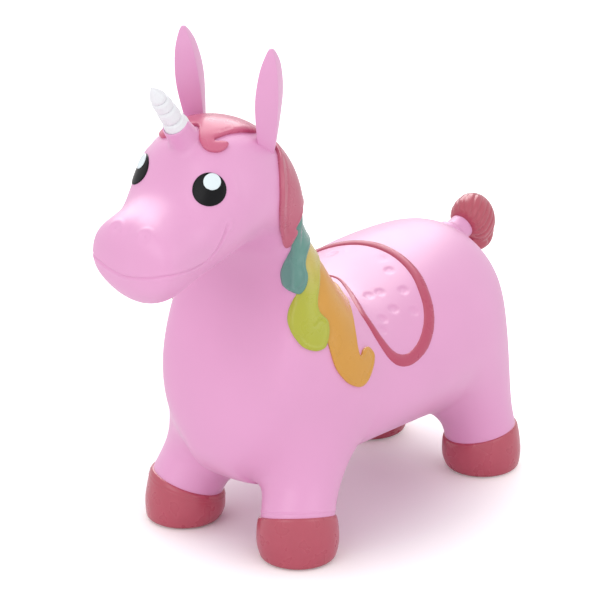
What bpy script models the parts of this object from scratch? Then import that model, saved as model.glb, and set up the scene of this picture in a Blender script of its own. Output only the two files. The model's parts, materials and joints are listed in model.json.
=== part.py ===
"""Inflatable unicorn hopper: a hollow soft-PVC skin on four stub legs, with its relief pieces and air plug.

Metres, +Z up, nose towards -Y, the animal's left towards +X. Everything is laid out round the middle of
the four soles and hangs from one empty, which slides the toy along Y until its bounding box is centred.
"""

import math

import bmesh
import bpy
from mathutils import Matrix, Vector
from mathutils.bvhtree import BVHTree
from mathutils.geometry import delaunay_2d_cdt

# Skin and clearances
WALL = 0.0028
INNER_SLACK = 0.0014
THIGH_SLACK = 0.0030
OVERRUN = 0.010
SEAT_GAP = 0.0003
SEAT_SLACK = 0.0002
SEAT_SINK = 0.0012

# Stance
WHEELBASE = 0.289
TRACK = 0.148
FRONT_SPLAY = math.radians(14)
REAR_SPLAY = math.radians(8)
FRONT_THIGH = (0.058, -0.117, 0.086)
REAR_THIGH = (0.067, 0.131, 0.090)

# Legs and hooves
LEG_RADIUS = 0.0360
THIGH_RADIUS = 0.0410
THIGH_DROP = 0.024
CROTCH_REACH = 0.032
HOOF_LEAN = 0.35
HOOF_STEP = 0.0018
HOOF_HEIGHT = 0.041
HOOF_WALL = 0.0040
SOLE_RADIUS = 0.030
SOLE_THICKNESS = 0.0045

# Trunk
SEAT_HEIGHT = 0.227
RUMP_HEIGHT = 0.247
BELLY_HEIGHT = 0.060
BARREL_WIDTH = 0.238
CHEST_WIDTH = 0.200
CHEST_FULLNESS = 1.15
RUMP_REACH = 0.200

# Neck and head
NECK_WIDTH = 0.132
HEAD_WIDTH = 0.138
MUZZLE_WIDTH = 0.116
POLL_HEIGHT = 0.439
CHIN_HEIGHT = 0.285
NOSE_REACH = 0.316

# Horn and its collar: the foot is where the horn's axis leaves the collar's lip
HORN_FOOT = (0, -0.233, 0.448)
HORN_TILT = math.radians(37)
HORN_LENGTH = 0.060
HORN_RADIUS = 0.0112
HORN_WALL = 0.0030
HORN_RINGS = (0.0092, 0.0252, 0.0374)
HORN_TAPER = 0.057
SOCKET_DEPTH = 0.0030
COLLAR_RADIUS = 0.0128
COLLAR_FLARE = 0.0165
COLLAR_HEIGHT = 0.015

# Ears
EAR_FOOT = (0.0432, -0.1527, 0.411)
EAR_TIP = (0.0545, -0.1600, 0.5145)
EAR_SPLIT = 0.24
EAR_PIVOT = 0.10
EAR_DEPTH = 0.0198
EAR_THICKNESS = 0.0112

# Tail
TAIL_FOOT = (0, RUMP_REACH, 0.2250)
TAIL_PITCH = math.radians(21)
TAIL_RADIUS = 0.0130
TAIL_PIVOT = 0.008
TUFT_WIDTH = 0.040
TUFT_HEIGHT = 0.056

# Relief painted in other colours
LOCK_HEIGHT = 0.0036
CROWN_HEIGHT = 0.0040
RIM_HEIGHT = 0.0030
EYE_CENTRE = (0.0445, -0.2365, 0.396)
EYE_FACING = (0.52, -0.70, 0.49)
EYE_RADIUS = 0.0157
EYE_HEIGHT = 0.0010
GLINT_RADIUS = 0.0080
GLINT_HEIGHT = 0.0008
GLINT_PLACE = (0.0025, 0.0070)

# Valve in the belly
VALVE_PLACE = (0, 0.012)
VALVE_BORE = 0.0045
VALVE_RADIUS = 0.0068
VALVE_FLANGE = 0.0110
FLANGE_THICKNESS = 0.0015
VALVE_LENGTH = 0.0120
PLUG_CLEARANCE = 0.0004
PLUG_HEAD = 0.0080
PLUG_LENGTH = 0.0100

# Counts that set how fine the solids are
SECTION_STEPS = 6
LEG_COLUMNS = (3, 4, 5)
REAR_LEG_STATIONS = (1, 2, 3)
FRONT_LEG_STATIONS = (5, 6, 7)
SKIN_LEVELS = 2
HOOF_STEPS = 18
HORN_STEPS = 20
VALVE_STEPS = 20
RELIEF_SPACING = 0.0105
TIGHT_SPACING = 0.0055

# Colours as seen on the toy, red, green and blue out of 255
PINK = (233, 150, 200)
RASPBERRY = (190, 78, 102)
TEAL = (88, 142, 131)
LIME = (176, 184, 52)
ORANGE = (220, 150, 62)
BLACK = (28, 27, 31)
WHITE = (240, 240, 243)


def stations():
    """The skin's sections from rump to nose: (crest y, crest z), (keel y, keel z), half width."""
    barrel = BARREL_WIDTH / 2
    chest = CHEST_WIDTH / 2
    neck = NECK_WIDTH / 2
    head = HEAD_WIDTH / 2
    muzzle = MUZZLE_WIDTH / 2
    return [
        ((RUMP_REACH - 0.011, 0.213), (RUMP_REACH - 0.026, 0.118), 0.060),
        ((0.166, 0.246), (0.156, 0.075), barrel - 0.029),
        ((0.120, RUMP_HEIGHT), (0.128, BELLY_HEIGHT - 0.006), barrel - 0.008),
        ((0.065, RUMP_HEIGHT - 0.002), (0.080, BELLY_HEIGHT), barrel),
        ((0.002, SEAT_HEIGHT), (-0.010, BELLY_HEIGHT + 0.009), barrel - 0.002),
        ((-0.039, SEAT_HEIGHT + 0.001), (-0.092, BELLY_HEIGHT + 0.005), chest + 0.012),
        ((-0.073, 0.275), (-0.153, BELLY_HEIGHT + 0.001), chest + 0.012),
        ((-0.100, 0.335), (-0.208, 0.108), chest - 0.012),
        ((-0.108, 0.374), (-0.162, 0.210), neck - 0.009),
        ((-0.116, 0.406), (-0.132, 0.286), neck - 0.001),
        ((-0.151, POLL_HEIGHT - 0.004), (-0.163, CHIN_HEIGHT + 0.037), head - 0.001),
        ((-0.203, POLL_HEIGHT + 0.003), (-0.207, CHIN_HEIGHT + 0.022), head + 0.002),
        ((-0.234, 0.424), (-0.248, CHIN_HEIGHT + 0.007), head - 0.016),
        ((-0.247, 0.380), (-0.281, CHIN_HEIGHT - 0.003), muzzle - 0.006),
        ((-NOSE_REACH + 0.022, 0.370), (-NOSE_REACH + 0.014, CHIN_HEIGHT + 0.012), muzzle - 0.004),
    ]


def linear(colour):
    """A screen colour out of 255 as the linear values that a shader takes."""
    return [((value / 255 + 0.055) / 1.055) ** 2.4 for value in colour] + [1]


def paint(name, colour, roughness):
    """A Principled material of one colour."""
    material = bpy.data.materials.new(name)
    material.use_nodes = True
    shader = material.node_tree.nodes["Principled BSDF"]
    shader.inputs["Base Color"].default_value = linear(colour)
    shader.inputs["Roughness"].default_value = roughness
    shader.inputs["Metallic"].default_value = 0
    material.diffuse_color = linear(colour)
    return material


class Toy:
    """The toy's collection, its cutters' collection and the empty that carries every node."""

    def __init__(self):
        self.nodes = bpy.data.collections.new("inflatable_unicorn_hopper")
        self.cutters = bpy.data.collections.new("cutters")
        for collection in (self.nodes, self.cutters):
            bpy.context.scene.collection.children.link(collection)
        self.root = bpy.data.objects.new("toy_middle", None)
        self.nodes.objects.link(self.root)

    def add(self, name, bm, material=None, place=(0, 0, 0), turn=(0, 0, 0)):
        """An object from this mesh, whose points are measured from its place. No material makes it a cutter."""
        mesh = bpy.data.meshes.new(name)
        bm.to_mesh(mesh)
        bm.free()
        obj = bpy.data.objects.new(name, mesh)
        obj.location = place
        obj.rotation_euler = turn
        obj.parent = self.root
        if material:
            mesh.materials.append(material)
            self.nodes.objects.link(obj)
        else:
            self.cutters.objects.link(obj)
            obj.hide_render = True
            obj.display_type = "WIRE"
        return obj


def cut(obj, operation, other):
    """An exact Boolean with another closed object."""
    boolean = obj.modifiers.new(other.name, "BOOLEAN")
    boolean.operation = operation
    boolean.object = other
    boolean.solver = "EXACT"


def halves(obj):
    """Mirrors a half that ends on the centre plane."""
    mirror = obj.modifiers.new("Mirror", "MIRROR")
    mirror.merge_threshold = 0.0001


def smooth(obj, levels):
    """Rounds a cage off."""
    subsurf = obj.modifiers.new("Subdivision", "SUBSURF")
    subsurf.levels = subsurf.render_levels = levels


def lathe(profile, close=False):
    """A profile of (radius, height) points, as edges for a Screw modifier. Closing it makes a tube."""
    bm = bmesh.new()
    verts = [bm.verts.new((radius, 0, height)) for radius, height in profile]
    for first, second in zip(verts, verts[1:]):
        bm.edges.new((first, second))
    if close:
        bm.edges.new((verts[-1], verts[0]))
    return bm


def spin(obj, steps):
    """Turns a profile once round its own Z axis."""
    screw = obj.modifiers.new("Screw", "SCREW")
    screw.steps = screw.render_steps = steps
    screw.use_merge_vertices = True
    screw.merge_threshold = 0.00001
    screw.use_normal_flip = True


def bridge(bm, first, second):
    """Quads between two rings of vertices."""
    count = len(first)
    for step in range(count):
        after = (step + 1) % count
        bm.faces.new((first[step], first[after], second[after], second[step]))


def loft(rings):
    """A closed solid through these rings of points, with a flat face on each end."""
    bm = bmesh.new()
    loops = [[bm.verts.new(point) for point in ring] for ring in rings]
    for first, second in zip(loops, loops[1:]):
        bridge(bm, first, second)
    bm.faces.new(loops[0])
    bm.faces.new(loops[-1])
    bmesh.ops.recalc_face_normals(bm, faces=bm.faces)
    return bm


def ring_growth(points_round):
    """How far a subdivided ring of this many points shrinks, turned over."""
    return 6 / (4 + 2 * math.cos(2 * math.pi / points_round))


def leg_frame(side, end):
    """Sole centre, upward leg axis, outward and forward directions. side is +1 left; end is +1 rear."""
    splay = REAR_SPLAY if end > 0 else FRONT_SPLAY
    sole = Vector((side * TRACK / 2, end * WHEELBASE / 2, 0))
    up = Vector((-side * math.tan(splay), -end * math.tan(splay), 1)).normalized()
    out = Vector((side, 0, 0))
    out = (out - up * out.dot(up)).normalized()
    front = Vector((0, -1, 0))
    front = (front - up * front.dot(up) - out * front.dot(out)).normalized()
    return sole, up, out, front


def hoof_centre(side, end, lift):
    """The middle of the hoof at this height: part of the leg's splay carries on into the hoof."""
    sole, up, out, forward = leg_frame(side, end)
    return sole + Vector((up.x * HOOF_LEAN, up.y * HOOF_LEAN, 1)) * lift


def hoof_profile():
    """Height and radius of the hoof's rings, from the sole up the outside, over the rim and down inside."""
    rim = LEG_RADIUS + HOOF_STEP
    swell = rim + 0.0020
    outside = [
        (0, SOLE_RADIUS),
        (0.07 * HOOF_HEIGHT, 0.6 * swell + 0.4 * SOLE_RADIUS),
        (0.22 * HOOF_HEIGHT, swell - 0.0014),
        (0.44 * HOOF_HEIGHT, swell),
        (0.75 * HOOF_HEIGHT, swell - 0.0004),
        (0.95 * HOOF_HEIGHT, rim + 0.0004),
        (HOOF_HEIGHT, rim - 0.0010),
    ]
    inside = [
        (HOOF_HEIGHT, LEG_RADIUS - WALL),
        (0.70 * HOOF_HEIGHT, swell - HOOF_WALL),
        (0.30 * HOOF_HEIGHT, swell - HOOF_WALL - 0.0010),
        (SOLE_THICKNESS, SOLE_RADIUS - 0.0020),
    ]
    return outside + inside


def hoof_ring(side, end, lift, radius):
    """A ring of the hoof: level at the sole, and square to the leg at the hoof line."""
    sole, up, out, forward = leg_frame(side, end)
    tilt = min(1, max(0, (lift - SOLE_THICKNESS) / (HOOF_HEIGHT - SOLE_THICKNESS)))
    axis_x = Vector((side, 0, 0)).lerp(out, tilt).normalized()
    axis_y = Vector((0, -1, 0)).lerp(forward, tilt).normalized()
    steps = HOOF_STEPS
    turns = [2 * math.pi * step / steps for step in range(steps)]
    centre = hoof_centre(side, end, lift)
    return [centre + (axis_x * math.cos(turn) + axis_y * math.sin(turn)) * radius for turn in turns]


def section_ring(bm, crest, keel, half_width):
    """Half a section of the cage, from its crest down the left side to its keel."""
    grow = ring_growth(2 * SECTION_STEPS)
    top = Vector((0, *crest))
    low = Vector((0, *keel))
    centre = (top + low) / 2
    half_height = (top - low).length / 2
    up = (top - low).normalized() * half_height * grow
    across = Vector((half_width, 0, 0)) * grow
    turns = [math.pi * step / SECTION_STEPS for step in range(SECTION_STEPS + 1)]
    points = [centre + up * math.cos(turn) + across * math.sin(turn) for turn in turns]
    points[0].x = points[-1].x = 0
    return [bm.verts.new(point) for point in points]


def close_end(bm, ring, bulge):
    """Four quads over an end section, pushed out by the bulge."""
    middle = (ring[0].co + ring[-1].co) / 2
    inner = bm.verts.new(middle + bulge)
    outer = bm.verts.new(middle.lerp(ring[SECTION_STEPS // 2].co, 0.5) + bulge * 0.8)
    for quad in (
        (ring[0], ring[1], outer, inner),
        (ring[1], ring[2], ring[3], outer),
        (inner, outer, ring[5], ring[6]),
        (outer, ring[3], ring[4], ring[5]),
    ):
        bm.faces.new(quad)


def leg_ring(bm, centre, out, front, radius, drop=0.0):
    """Eight cage points round a leg: outer side, front, inner side, back. The inner side hangs by the drop."""
    grown = radius * ring_growth(8)
    verts = []
    for step in range(8):
        turn = math.radians(45 * step)
        point = centre + (out * math.cos(turn) + front * math.sin(turn)) * grown
        point.z -= drop * (1 - math.cos(turn)) / 2
        verts.append(bm.verts.new(point))
    return verts


def grow_leg(bm, rings, rows, end, overrun, slack):
    """Runs the left leg down from its block of the trunk, and closes it with a flat end at the hoof line."""
    top, mid, low = LEG_COLUMNS
    back, centre, front = rows
    loop = [
        rings[centre][top],
        rings[front][top],
        rings[front][mid],
        rings[front][low],
        rings[centre][low],
        rings[back][low],
        rings[back][mid],
        rings[back][top],
    ]
    bm.verts.remove(rings[centre][mid])
    sole, up, out, forward = leg_frame(1, end)
    hoof_line = hoof_centre(1, end, HOOF_HEIGHT) + up * SEAT_GAP
    thigh = Vector(REAR_THIGH if end > 0 else FRONT_THIGH)
    round_leg = [
        (thigh, THIGH_RADIUS - slack, THIGH_DROP - slack),
        (hoof_line.lerp(thigh, 0.35), LEG_RADIUS, 0),
        (hoof_line, LEG_RADIUS, 0),
    ]
    if overrun:
        round_leg.append((hoof_line - up * overrun, LEG_RADIUS, 0))
    for centre, radius, drop in round_leg:
        ring = leg_ring(bm, centre, out, forward, radius, drop)
        bridge(bm, loop, ring)
        loop = ring
    bm.faces.new(loop)
    crease = bm.edges.layers.float.get("crease_edge") or bm.edges.layers.float.new("crease_edge")
    for first, second in zip(loop, loop[1:] + loop[:1]):
        bm.edges.get((first, second))[crease] = 1


def skin_cage(inset=0.0, overrun=0.0, slack=0.0):
    """The left half of the skin's control cage, open only at the centre plane.

    It is drawn in by the inset all over, its leg ends run past the hoof line by the overrun, and its thighs
    are slimmer by the slack.
    """
    bm = bmesh.new()
    rings = [section_ring(bm, *station) for station in stations()]
    for vert in rings[FRONT_LEG_STATIONS[-1]][LEG_COLUMNS[1]:-1]:
        vert.co.x *= CHEST_FULLNESS
    for number in REAR_LEG_STATIONS + FRONT_LEG_STATIONS:
        beside, keel = rings[number][LEG_COLUMNS[-1]], rings[number][-1]
        beside.co = keel.co + Vector((CROTCH_REACH, 0, 0.001))
    leg_rows = REAR_LEG_STATIONS[:-1] + FRONT_LEG_STATIONS[:-1]
    for number, (here, ahead) in enumerate(zip(rings, rings[1:])):
        for column in range(SECTION_STEPS):
            if number in leg_rows and column in LEG_COLUMNS[:-1]:
                continue
            bm.faces.new((here[column], here[column + 1], ahead[column + 1], ahead[column]))
    close_end(bm, rings[0], Vector((0, 0.010, 0)))
    close_end(bm, rings[-1], Vector((0, -0.010, 0)))
    for end, rows in ((1, REAR_LEG_STATIONS), (-1, FRONT_LEG_STATIONS)):
        grow_leg(bm, rings, rows, end, overrun, slack)
    bmesh.ops.recalc_face_normals(bm, faces=bm.faces)
    bm.normal_update()
    for vert in bm.verts:
        inward = -vert.normal
        if vert.co.x < 1e-6:
            inward.x = 0
        vert.co += inward.normalized() * inset
    return bm


def skin_volume(toy, name, cage, levels):
    """A cutter: the closed shape of the skin, from this cage."""
    obj = toy.add(name, cage)
    halves(obj)
    smooth(obj, levels)
    return obj


def surface_of(obj):
    """What the modifiers make of an object, as a tree to cast rays on, with its lowest and highest Y."""
    evaluated = obj.evaluated_get(bpy.context.evaluated_depsgraph_get())
    mesh = evaluated.to_mesh()
    points = [obj.matrix_local @ vertex.co for vertex in mesh.vertices]
    tree = BVHTree.FromPolygons(points, [list(face.vertices) for face in mesh.polygons])
    evaluated.to_mesh_clear()
    lengthways = [point.y for point in points]
    return tree, min(lengthways), max(lengthways)


def curve_through(points, spacing):
    """Catmull-Rom points through these, about this far apart, ending square to a centre line at zero."""
    def beyond(first, second):
        return Vector((second.x, -second.y)) if abs(first.y) < 1e-6 else first

    padded = [beyond(points[0], points[1]), *points, beyond(points[-1], points[-2])]
    line = []
    for before, start, stop, after in zip(padded, padded[1:], padded[2:], padded[3:]):
        steps = max(1, round((stop - start).length / spacing))
        for step in range(steps):
            share = step / steps
            line.append(0.5 * (
                2 * start
                + (stop - before) * share
                + (2 * before - 5 * start + 4 * stop - after) * share ** 2
                + (3 * start - before - 3 * stop + after) * share ** 3
            ))
    return line + [points[-1].copy()]


def millimetres(pairs):
    """Points in metres from pairs in millimetres."""
    return [Vector(pair) / 1000 for pair in pairs]


def half_outline(pairs, spacing):
    """A closed outline of a left half: a smooth line from the centre line round and back, then along it."""
    line = curve_through(millimetres(pairs), spacing)
    start, stop = line[0], line[-1]
    steps = max(1, round((stop - start).length / spacing))
    return line + [stop.lerp(start, step / steps) for step in range(1, steps)]


def disc_outline(radius, steps, centre=(0, 0)):
    """A round outline."""
    turns = [2 * math.pi * step / steps for step in range(steps)]
    return [Vector(centre) + Vector((math.cos(turn), math.sin(turn))) * radius for turn in turns]


def band_outline(pairs, widths, spacing):
    """The outline of half a band round a centre line, whose half width runs through these values."""
    line = curve_through(millimetres(pairs), spacing)
    reach = [0.0]
    for first, second in zip(line, line[1:]):
        reach.append(reach[-1] + (second - first).length)
    near, far = [], []
    for number, point in enumerate(line):
        ahead = line[min(number + 1, len(line) - 1)] - line[max(number - 1, 0)]
        normal = Vector((-ahead.y, ahead.x)).normalized()
        if number in (0, len(line) - 1):
            normal = Vector((math.copysign(1, normal.x), 0))
        place = reach[number] / reach[-1] * (len(widths) - 1)
        low = min(int(place), len(widths) - 2)
        half = widths[low] + (widths[low + 1] - widths[low]) * (place - low)
        near.append(point - normal * half)
        far.append(point + normal * half)
    return near + far[::-1], line


def inside(point, outline):
    """Whether a point lies in an outline."""
    odd = False
    for first, second in zip(outline, outline[1:] + outline[:1]):
        if (first.y > point.y) != (second.y > point.y):
            crossing = first.x + (point.y - first.y) / (second.y - first.y) * (second.x - first.x)
            odd = odd != (point.x < crossing)
    return odd


def on_centre_line(point):
    """Whether an outline point lies on the centre line."""
    return abs(point.y) < 1e-6


def edge_distance(point, outline):
    """How far a point lies from an outline's own edges, those on the centre line left out."""
    least = 1.0
    for first, second in zip(outline, outline[1:] + outline[:1]):
        if on_centre_line(first) and on_centre_line(second):
            continue
        along = second - first
        share = max(0, min(1, (point - first).dot(along) / along.length_squared))
        least = min(least, (point - first - along * share).length)
    return least


def fill_points(outline, spacing):
    """Points in rows of triangles inside an outline, clear of its edges."""
    low_x, low_y = (min(point[axis] for point in outline) for axis in (0, 1))
    high_x, high_y = (max(point[axis] for point in outline) for axis in (0, 1))
    points = []
    row_step = spacing * math.sqrt(3) / 2
    for row in range(int((high_y - low_y) / row_step) + 1):
        for column in range(int((high_x - low_x) / spacing) + 1):
            x = low_x + (column + 0.5 * (row % 2)) * spacing
            y = low_y + row * row_step
            point = Vector((x, y))
            if inside(point, outline) and edge_distance(point, outline) > 0.55 * spacing:
                points.append(point)
    return points


def surface_normals(places, faces, ray):
    """The outward normal at each of these places on the skin, taken from the faces between them."""
    bm = bmesh.new()
    verts = [bm.verts.new(place) for place in places]
    for face in faces:
        bm.faces.new([verts[corner] for corner in face])
    bm.normal_update()
    facing = 1 if verts[0].normal.dot(ray) > 0 else -1
    normals = [vert.normal * facing for vert in verts]
    bm.free()
    return normals


def relief(tree, patch, outline, height, sink, round_over, spacing=RELIEF_SPACING, middle=()):
    """A raised piece on the skin: the outline, laid on through the patch's rays, with rounded shoulders.

    It starts this far under the skin, or above it when sink is negative.
    """
    points = list(outline) + (list(middle) or fill_points(outline, spacing))
    numbers = range(len(outline))
    walls = list(zip(numbers, [*numbers[1:], 0]))
    points, walls, faces, *_ = delaunay_2d_cdt(points, walls, [], 1, 1e-7)
    places = [tree.ray_cast(*patch(point))[0] for point in points]
    normals = surface_normals(places, faces, patch(points[0])[1])
    bm = bmesh.new()
    floor = max(0, -sink)
    low, high = [], []
    for point, place, normal in zip(points, places, normals):
        if on_centre_line(point) and abs(place.x) < 1e-5:
            normal.x = place.x = 0
            normal.normalize()
        share = min(1, edge_distance(point, outline) / round_over)
        rise = floor + (height - floor) * (0.45 + 0.55 * math.sqrt(1 - (1 - share) ** 2))
        low.append(bm.verts.new(place - normal * sink))
        high.append(bm.verts.new(place + normal * rise))
    for face in faces:
        bm.faces.new([high[corner] for corner in face])
        bm.faces.new([low[corner] for corner in reversed(face)])
    border = {tuple(sorted(edge)) for edge in walls}
    sides = [tuple(sorted(pair)) for face in faces for pair in zip(face, [*face[1:], face[0]])]
    for first, second in border:
        if on_centre_line(points[first]) and on_centre_line(points[second]):
            continue
        if sides.count((first, second)) == 1:
            bm.faces.new((low[first], low[second], high[second], high[first]))
    bmesh.ops.recalc_face_normals(bm, faces=bm.faces)
    return bm


def neck_patch(point):
    """Up the neck's axis, and round it from the crest towards the left."""
    axis = Vector((0, -0.124, 0.992)).normalized()
    back = Vector((0, 0.992, 0.124)).normalized()
    turn = point.y / 0.07
    return Vector((0, -0.125, 0.20)) + axis * point.x, back * math.cos(turn) + Vector((math.sin(turn), 0, 0))


def barrel_patch(point):
    """Along the trunk, and round it from the crest towards the left."""
    turn = point.y / 0.1
    return Vector((0, point.x, 0.16)), Vector((math.sin(turn), 0, math.cos(turn)))


def plan_patch(point):
    """Seen from above the head: along Y, then out towards the left."""
    return Vector((point.y, point.x, 0.37)), Vector((0, 0, 1))


def eye_patch(point):
    """Seen straight on at the left eye: across, then up."""
    facing = Vector(EYE_FACING).normalized()
    across = Vector((0, 0, 1)).cross(facing).normalized()
    up = facing.cross(across)
    return Vector(EYE_CENTRE) - facing * 0.03 + across * point.x + up * point.y, facing


def crown_outline():
    """Half the crown, seen from above, along Y and out: front lobe, curl, groove, ear and back."""
    return half_outline([
        (-199, 0), (-201.5, 9), (-208.5, 16.5), (-215, 20.5), (-218.5, 26), (-215.5, 32.5), (-208.5, 36.5),
        (-200, 36), (-197, 31), (-202.5, 25.5), (-197, 23.5), (-188, 24), (-178, 26.5), (-165, 28), (-152, 26),
        (-144, 19), (-141.5, 10), (-141.5, 0),
    ], RELIEF_SPACING)


def raspberry_outline():
    """Half the top lock, up the neck and round it."""
    return half_outline([
        (224, 0), (222, 30), (215, 56), (207, 76), (202, 95), (198, 112), (187, 121), (171, 126), (152, 125),
        (136, 121), (123, 115.5), (114, 110.5), (112.5, 106.5), (117, 103.5), (124, 99), (129, 102.5),
        (136, 100), (142, 91), (150, 55), (156, 0),
    ], RELIEF_SPACING)


def teal_outline():
    """Half the second lock, up the neck and round it."""
    return half_outline([
        (153.5, 0), (147.5, 54), (138.5, 87), (131, 93.5), (122, 95), (114, 100), (109, 106), (103, 109.5),
        (96, 112), (88, 115.5), (80, 119.5), (74, 120.5), (71.5, 116.5), (73, 111), (78, 106), (84, 101.5),
        (91, 98), (99, 91.5), (106.5, 80), (112, 55), (115.5, 0),
    ], RELIEF_SPACING)


def lime_outline():
    """Half the third lock, up the neck and round it."""
    return half_outline([
        (113, 0), (109, 54), (103.5, 77), (96.5, 87.5), (88, 94.5), (81, 98.5), (75, 103), (70, 109.5),
        (68, 116), (65, 121.5), (58, 126), (47, 130.5), (35, 131), (25, 127), (19, 120), (19, 115), (22, 110.5),
        (28, 107.5), (34, 105.5), (40, 104), (46, 105.5), (52, 106), (58, 105.5), (64, 103), (70, 98.5),
        (77, 93), (83, 86), (87, 60), (88, 30), (88, 0),
    ], RELIEF_SPACING)


def orange_outline():
    """Half the lowest lock, along the trunk and round it."""
    return half_outline([
        (-78.5, 0), (-82, 18), (-85.5, 27), (-93, 37.5), (-101, 47), (-111, 57), (-117, 64.5), (-121, 72),
        (-120.5, 78), (-116.5, 85), (-116.5, 91), (-121, 98), (-124, 106), (-124.5, 116), (-120, 127),
        (-110.5, 138.5), (-99.5, 145), (-90, 143.5), (-80, 137), (-69, 129), (-66, 123.5), (-72, 117.5),
        (-82, 117), (-90.5, 119.5), (-91.5, 113), (-88.5, 100), (-81, 87), (-66, 76), (-48, 66.5), (-25, 39),
        (-16, 18), (-14, 0),
    ], RELIEF_SPACING)


def rim_outline():
    """Half the saddle line, along the trunk and round it, thin in front and broad at the back."""
    return band_outline([
        (-4, 0), (-7, 17), (-18, 44), (-30, 68), (-41, 92), (-43, 113), (-38, 130), (-26, 143), (-10, 145),
        (5, 139), (19, 129), (33, 117), (43, 103), (50, 89), (55.5, 72), (60.5, 51), (64, 28), (65.5, 0),
    ], [0.0013, 0.0015, 0.0028, 0.0042, 0.0044, 0.0044, 0.0038, 0.0034], RELIEF_SPACING)


def build_skin(toy, pink):
    """The hollow skin: trunk, neck, head, legs and the collar, with its horn socket and valve hole."""
    skin = toy.add("body_skin", skin_cage(), pink)
    halves(skin)
    smooth(skin, SKIN_LEVELS)
    tree, nose, _ = surface_of(skin)
    tilt = (HORN_TILT, 0, 0)
    collar = toy.add("collar", lathe([
        (0, -COLLAR_HEIGHT - OVERRUN),
        (COLLAR_FLARE, -COLLAR_HEIGHT - OVERRUN),
        (COLLAR_FLARE, -COLLAR_HEIGHT),
        (COLLAR_RADIUS + 0.0012, -0.6 * COLLAR_HEIGHT),
        (COLLAR_RADIUS, -0.0015),
        (COLLAR_RADIUS - 0.0006, 0),
        (0, 0),
    ]), place=HORN_FOOT, turn=tilt)
    spin(collar, HORN_STEPS)
    bore = HORN_RADIUS - HORN_WALL
    socket = toy.add("horn_socket", lathe([
        (0, -COLLAR_HEIGHT - 2 * OVERRUN),
        (bore, -COLLAR_HEIGHT - 2 * OVERRUN),
        (bore, -SOCKET_DEPTH),
        (HORN_RADIUS + SEAT_GAP, -SOCKET_DEPTH),
        (HORN_RADIUS + SEAT_GAP, OVERRUN),
        (0, OVERRUN),
    ]), place=HORN_FOOT, turn=tilt)
    spin(socket, HORN_STEPS)
    inner = skin_volume(toy, "skin_inside", skin_cage(WALL + INNER_SLACK, OVERRUN, THIGH_SLACK), SKIN_LEVELS - 1)
    valve_hole = toy.add("valve_hole", lathe([
        (0, BELLY_HEIGHT - 2 * OVERRUN),
        (VALVE_RADIUS + SEAT_GAP, BELLY_HEIGHT - 2 * OVERRUN),
        (VALVE_RADIUS + SEAT_GAP, BELLY_HEIGHT + 4 * OVERRUN),
        (0, BELLY_HEIGHT + 4 * OVERRUN),
    ]), place=(*VALVE_PLACE, 0))
    spin(valve_hole, VALVE_STEPS)
    cut(skin, "UNION", collar)
    for cutter in (inner, valve_hole, socket):
        cut(skin, "DIFFERENCE", cutter)
    return tree, nose


def build_hooves(toy, raspberry):
    """Four hollow hooves with flat soles."""
    for end_name, end in (("front", -1), ("rear", 1)):
        for side_name, side in (("left", 1), ("right", -1)):
            rings = [hoof_ring(side, end, lift, radius) for lift, radius in hoof_profile()]
            toy.add(f"hoof_{end_name}_{side_name}", loft(rings), raspberry)


def build_horn(toy, white):
    """A hollow horn of bulging rings, which stands in the collar's socket."""
    bottom = SEAT_GAP - SOCKET_DEPTH
    outside = [(HORN_RADIUS, bottom)]
    ring_start = 0.0
    for ring_end in HORN_RINGS:
        groove = HORN_RADIUS - 0.0016 - HORN_TAPER * ring_end
        for share, swell in ((0.25, 0.0014), (0.75, 0.0012), (0.94, 0.0005), (1, 0)):
            height = ring_start + (ring_end - ring_start) * share
            outside.append((groove + swell, height))
        ring_start = ring_end
    tip = HORN_LENGTH - ring_start
    for share, radius in ((0.08, 0.0080), (0.35, 0.0078), (0.65, 0.0058), (0.88, 0.0030), (0.98, 0.0011)):
        outside.append((radius, ring_start + tip * share))
    outside.append((0, HORN_LENGTH))
    hollow = [
        (0, 0.70 * HORN_LENGTH),
        (0.0030, 0.62 * HORN_LENGTH),
        (0.0050, 0.40 * HORN_LENGTH),
        (HORN_RADIUS - HORN_WALL, bottom),
    ]
    horn = toy.add("horn", lathe([*hollow, *outside]), white, place=HORN_FOOT, turn=(HORN_TILT, 0, 0))
    spin(horn, HORN_STEPS)


def ear_ring(side, share, depth_share, thickness_share):
    """A leaf-shaped section of an ear, with its edges fore and aft and a ridge down each flat side.

    It lies at this share of the ear's length, and its size is in shares of the ear's widest section.
    """
    foot = Vector((side * EAR_FOOT[0], *EAR_FOOT[1:]))
    tip = Vector((side * EAR_TIP[0], *EAR_TIP[1:]))
    up = (tip - foot).normalized()
    fore = Vector((0, -1, 0))
    fore = (fore - up * fore.dot(up)).normalized()
    out = fore.cross(up)
    centre = foot.lerp(tip, share)
    points = []
    for step in range(16):
        turn = math.radians(22.5 * step)
        along = math.copysign(abs(math.cos(turn)) ** 1.5, math.cos(turn)) * EAR_DEPTH * depth_share
        aside = math.copysign(abs(math.sin(turn)) ** 1.5, math.sin(turn)) * EAR_THICKNESS * thickness_share
        points.append(centre + fore * along + out * aside)
    return points


def ear_pivot(side):
    """Where the ear bends: a point on its axis, just over the skin."""
    foot = Vector((side * EAR_FOOT[0], *EAR_FOOT[1:]))
    return foot.lerp(Vector((side * EAR_TIP[0], *EAR_TIP[1:])), EAR_PIVOT)


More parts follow.
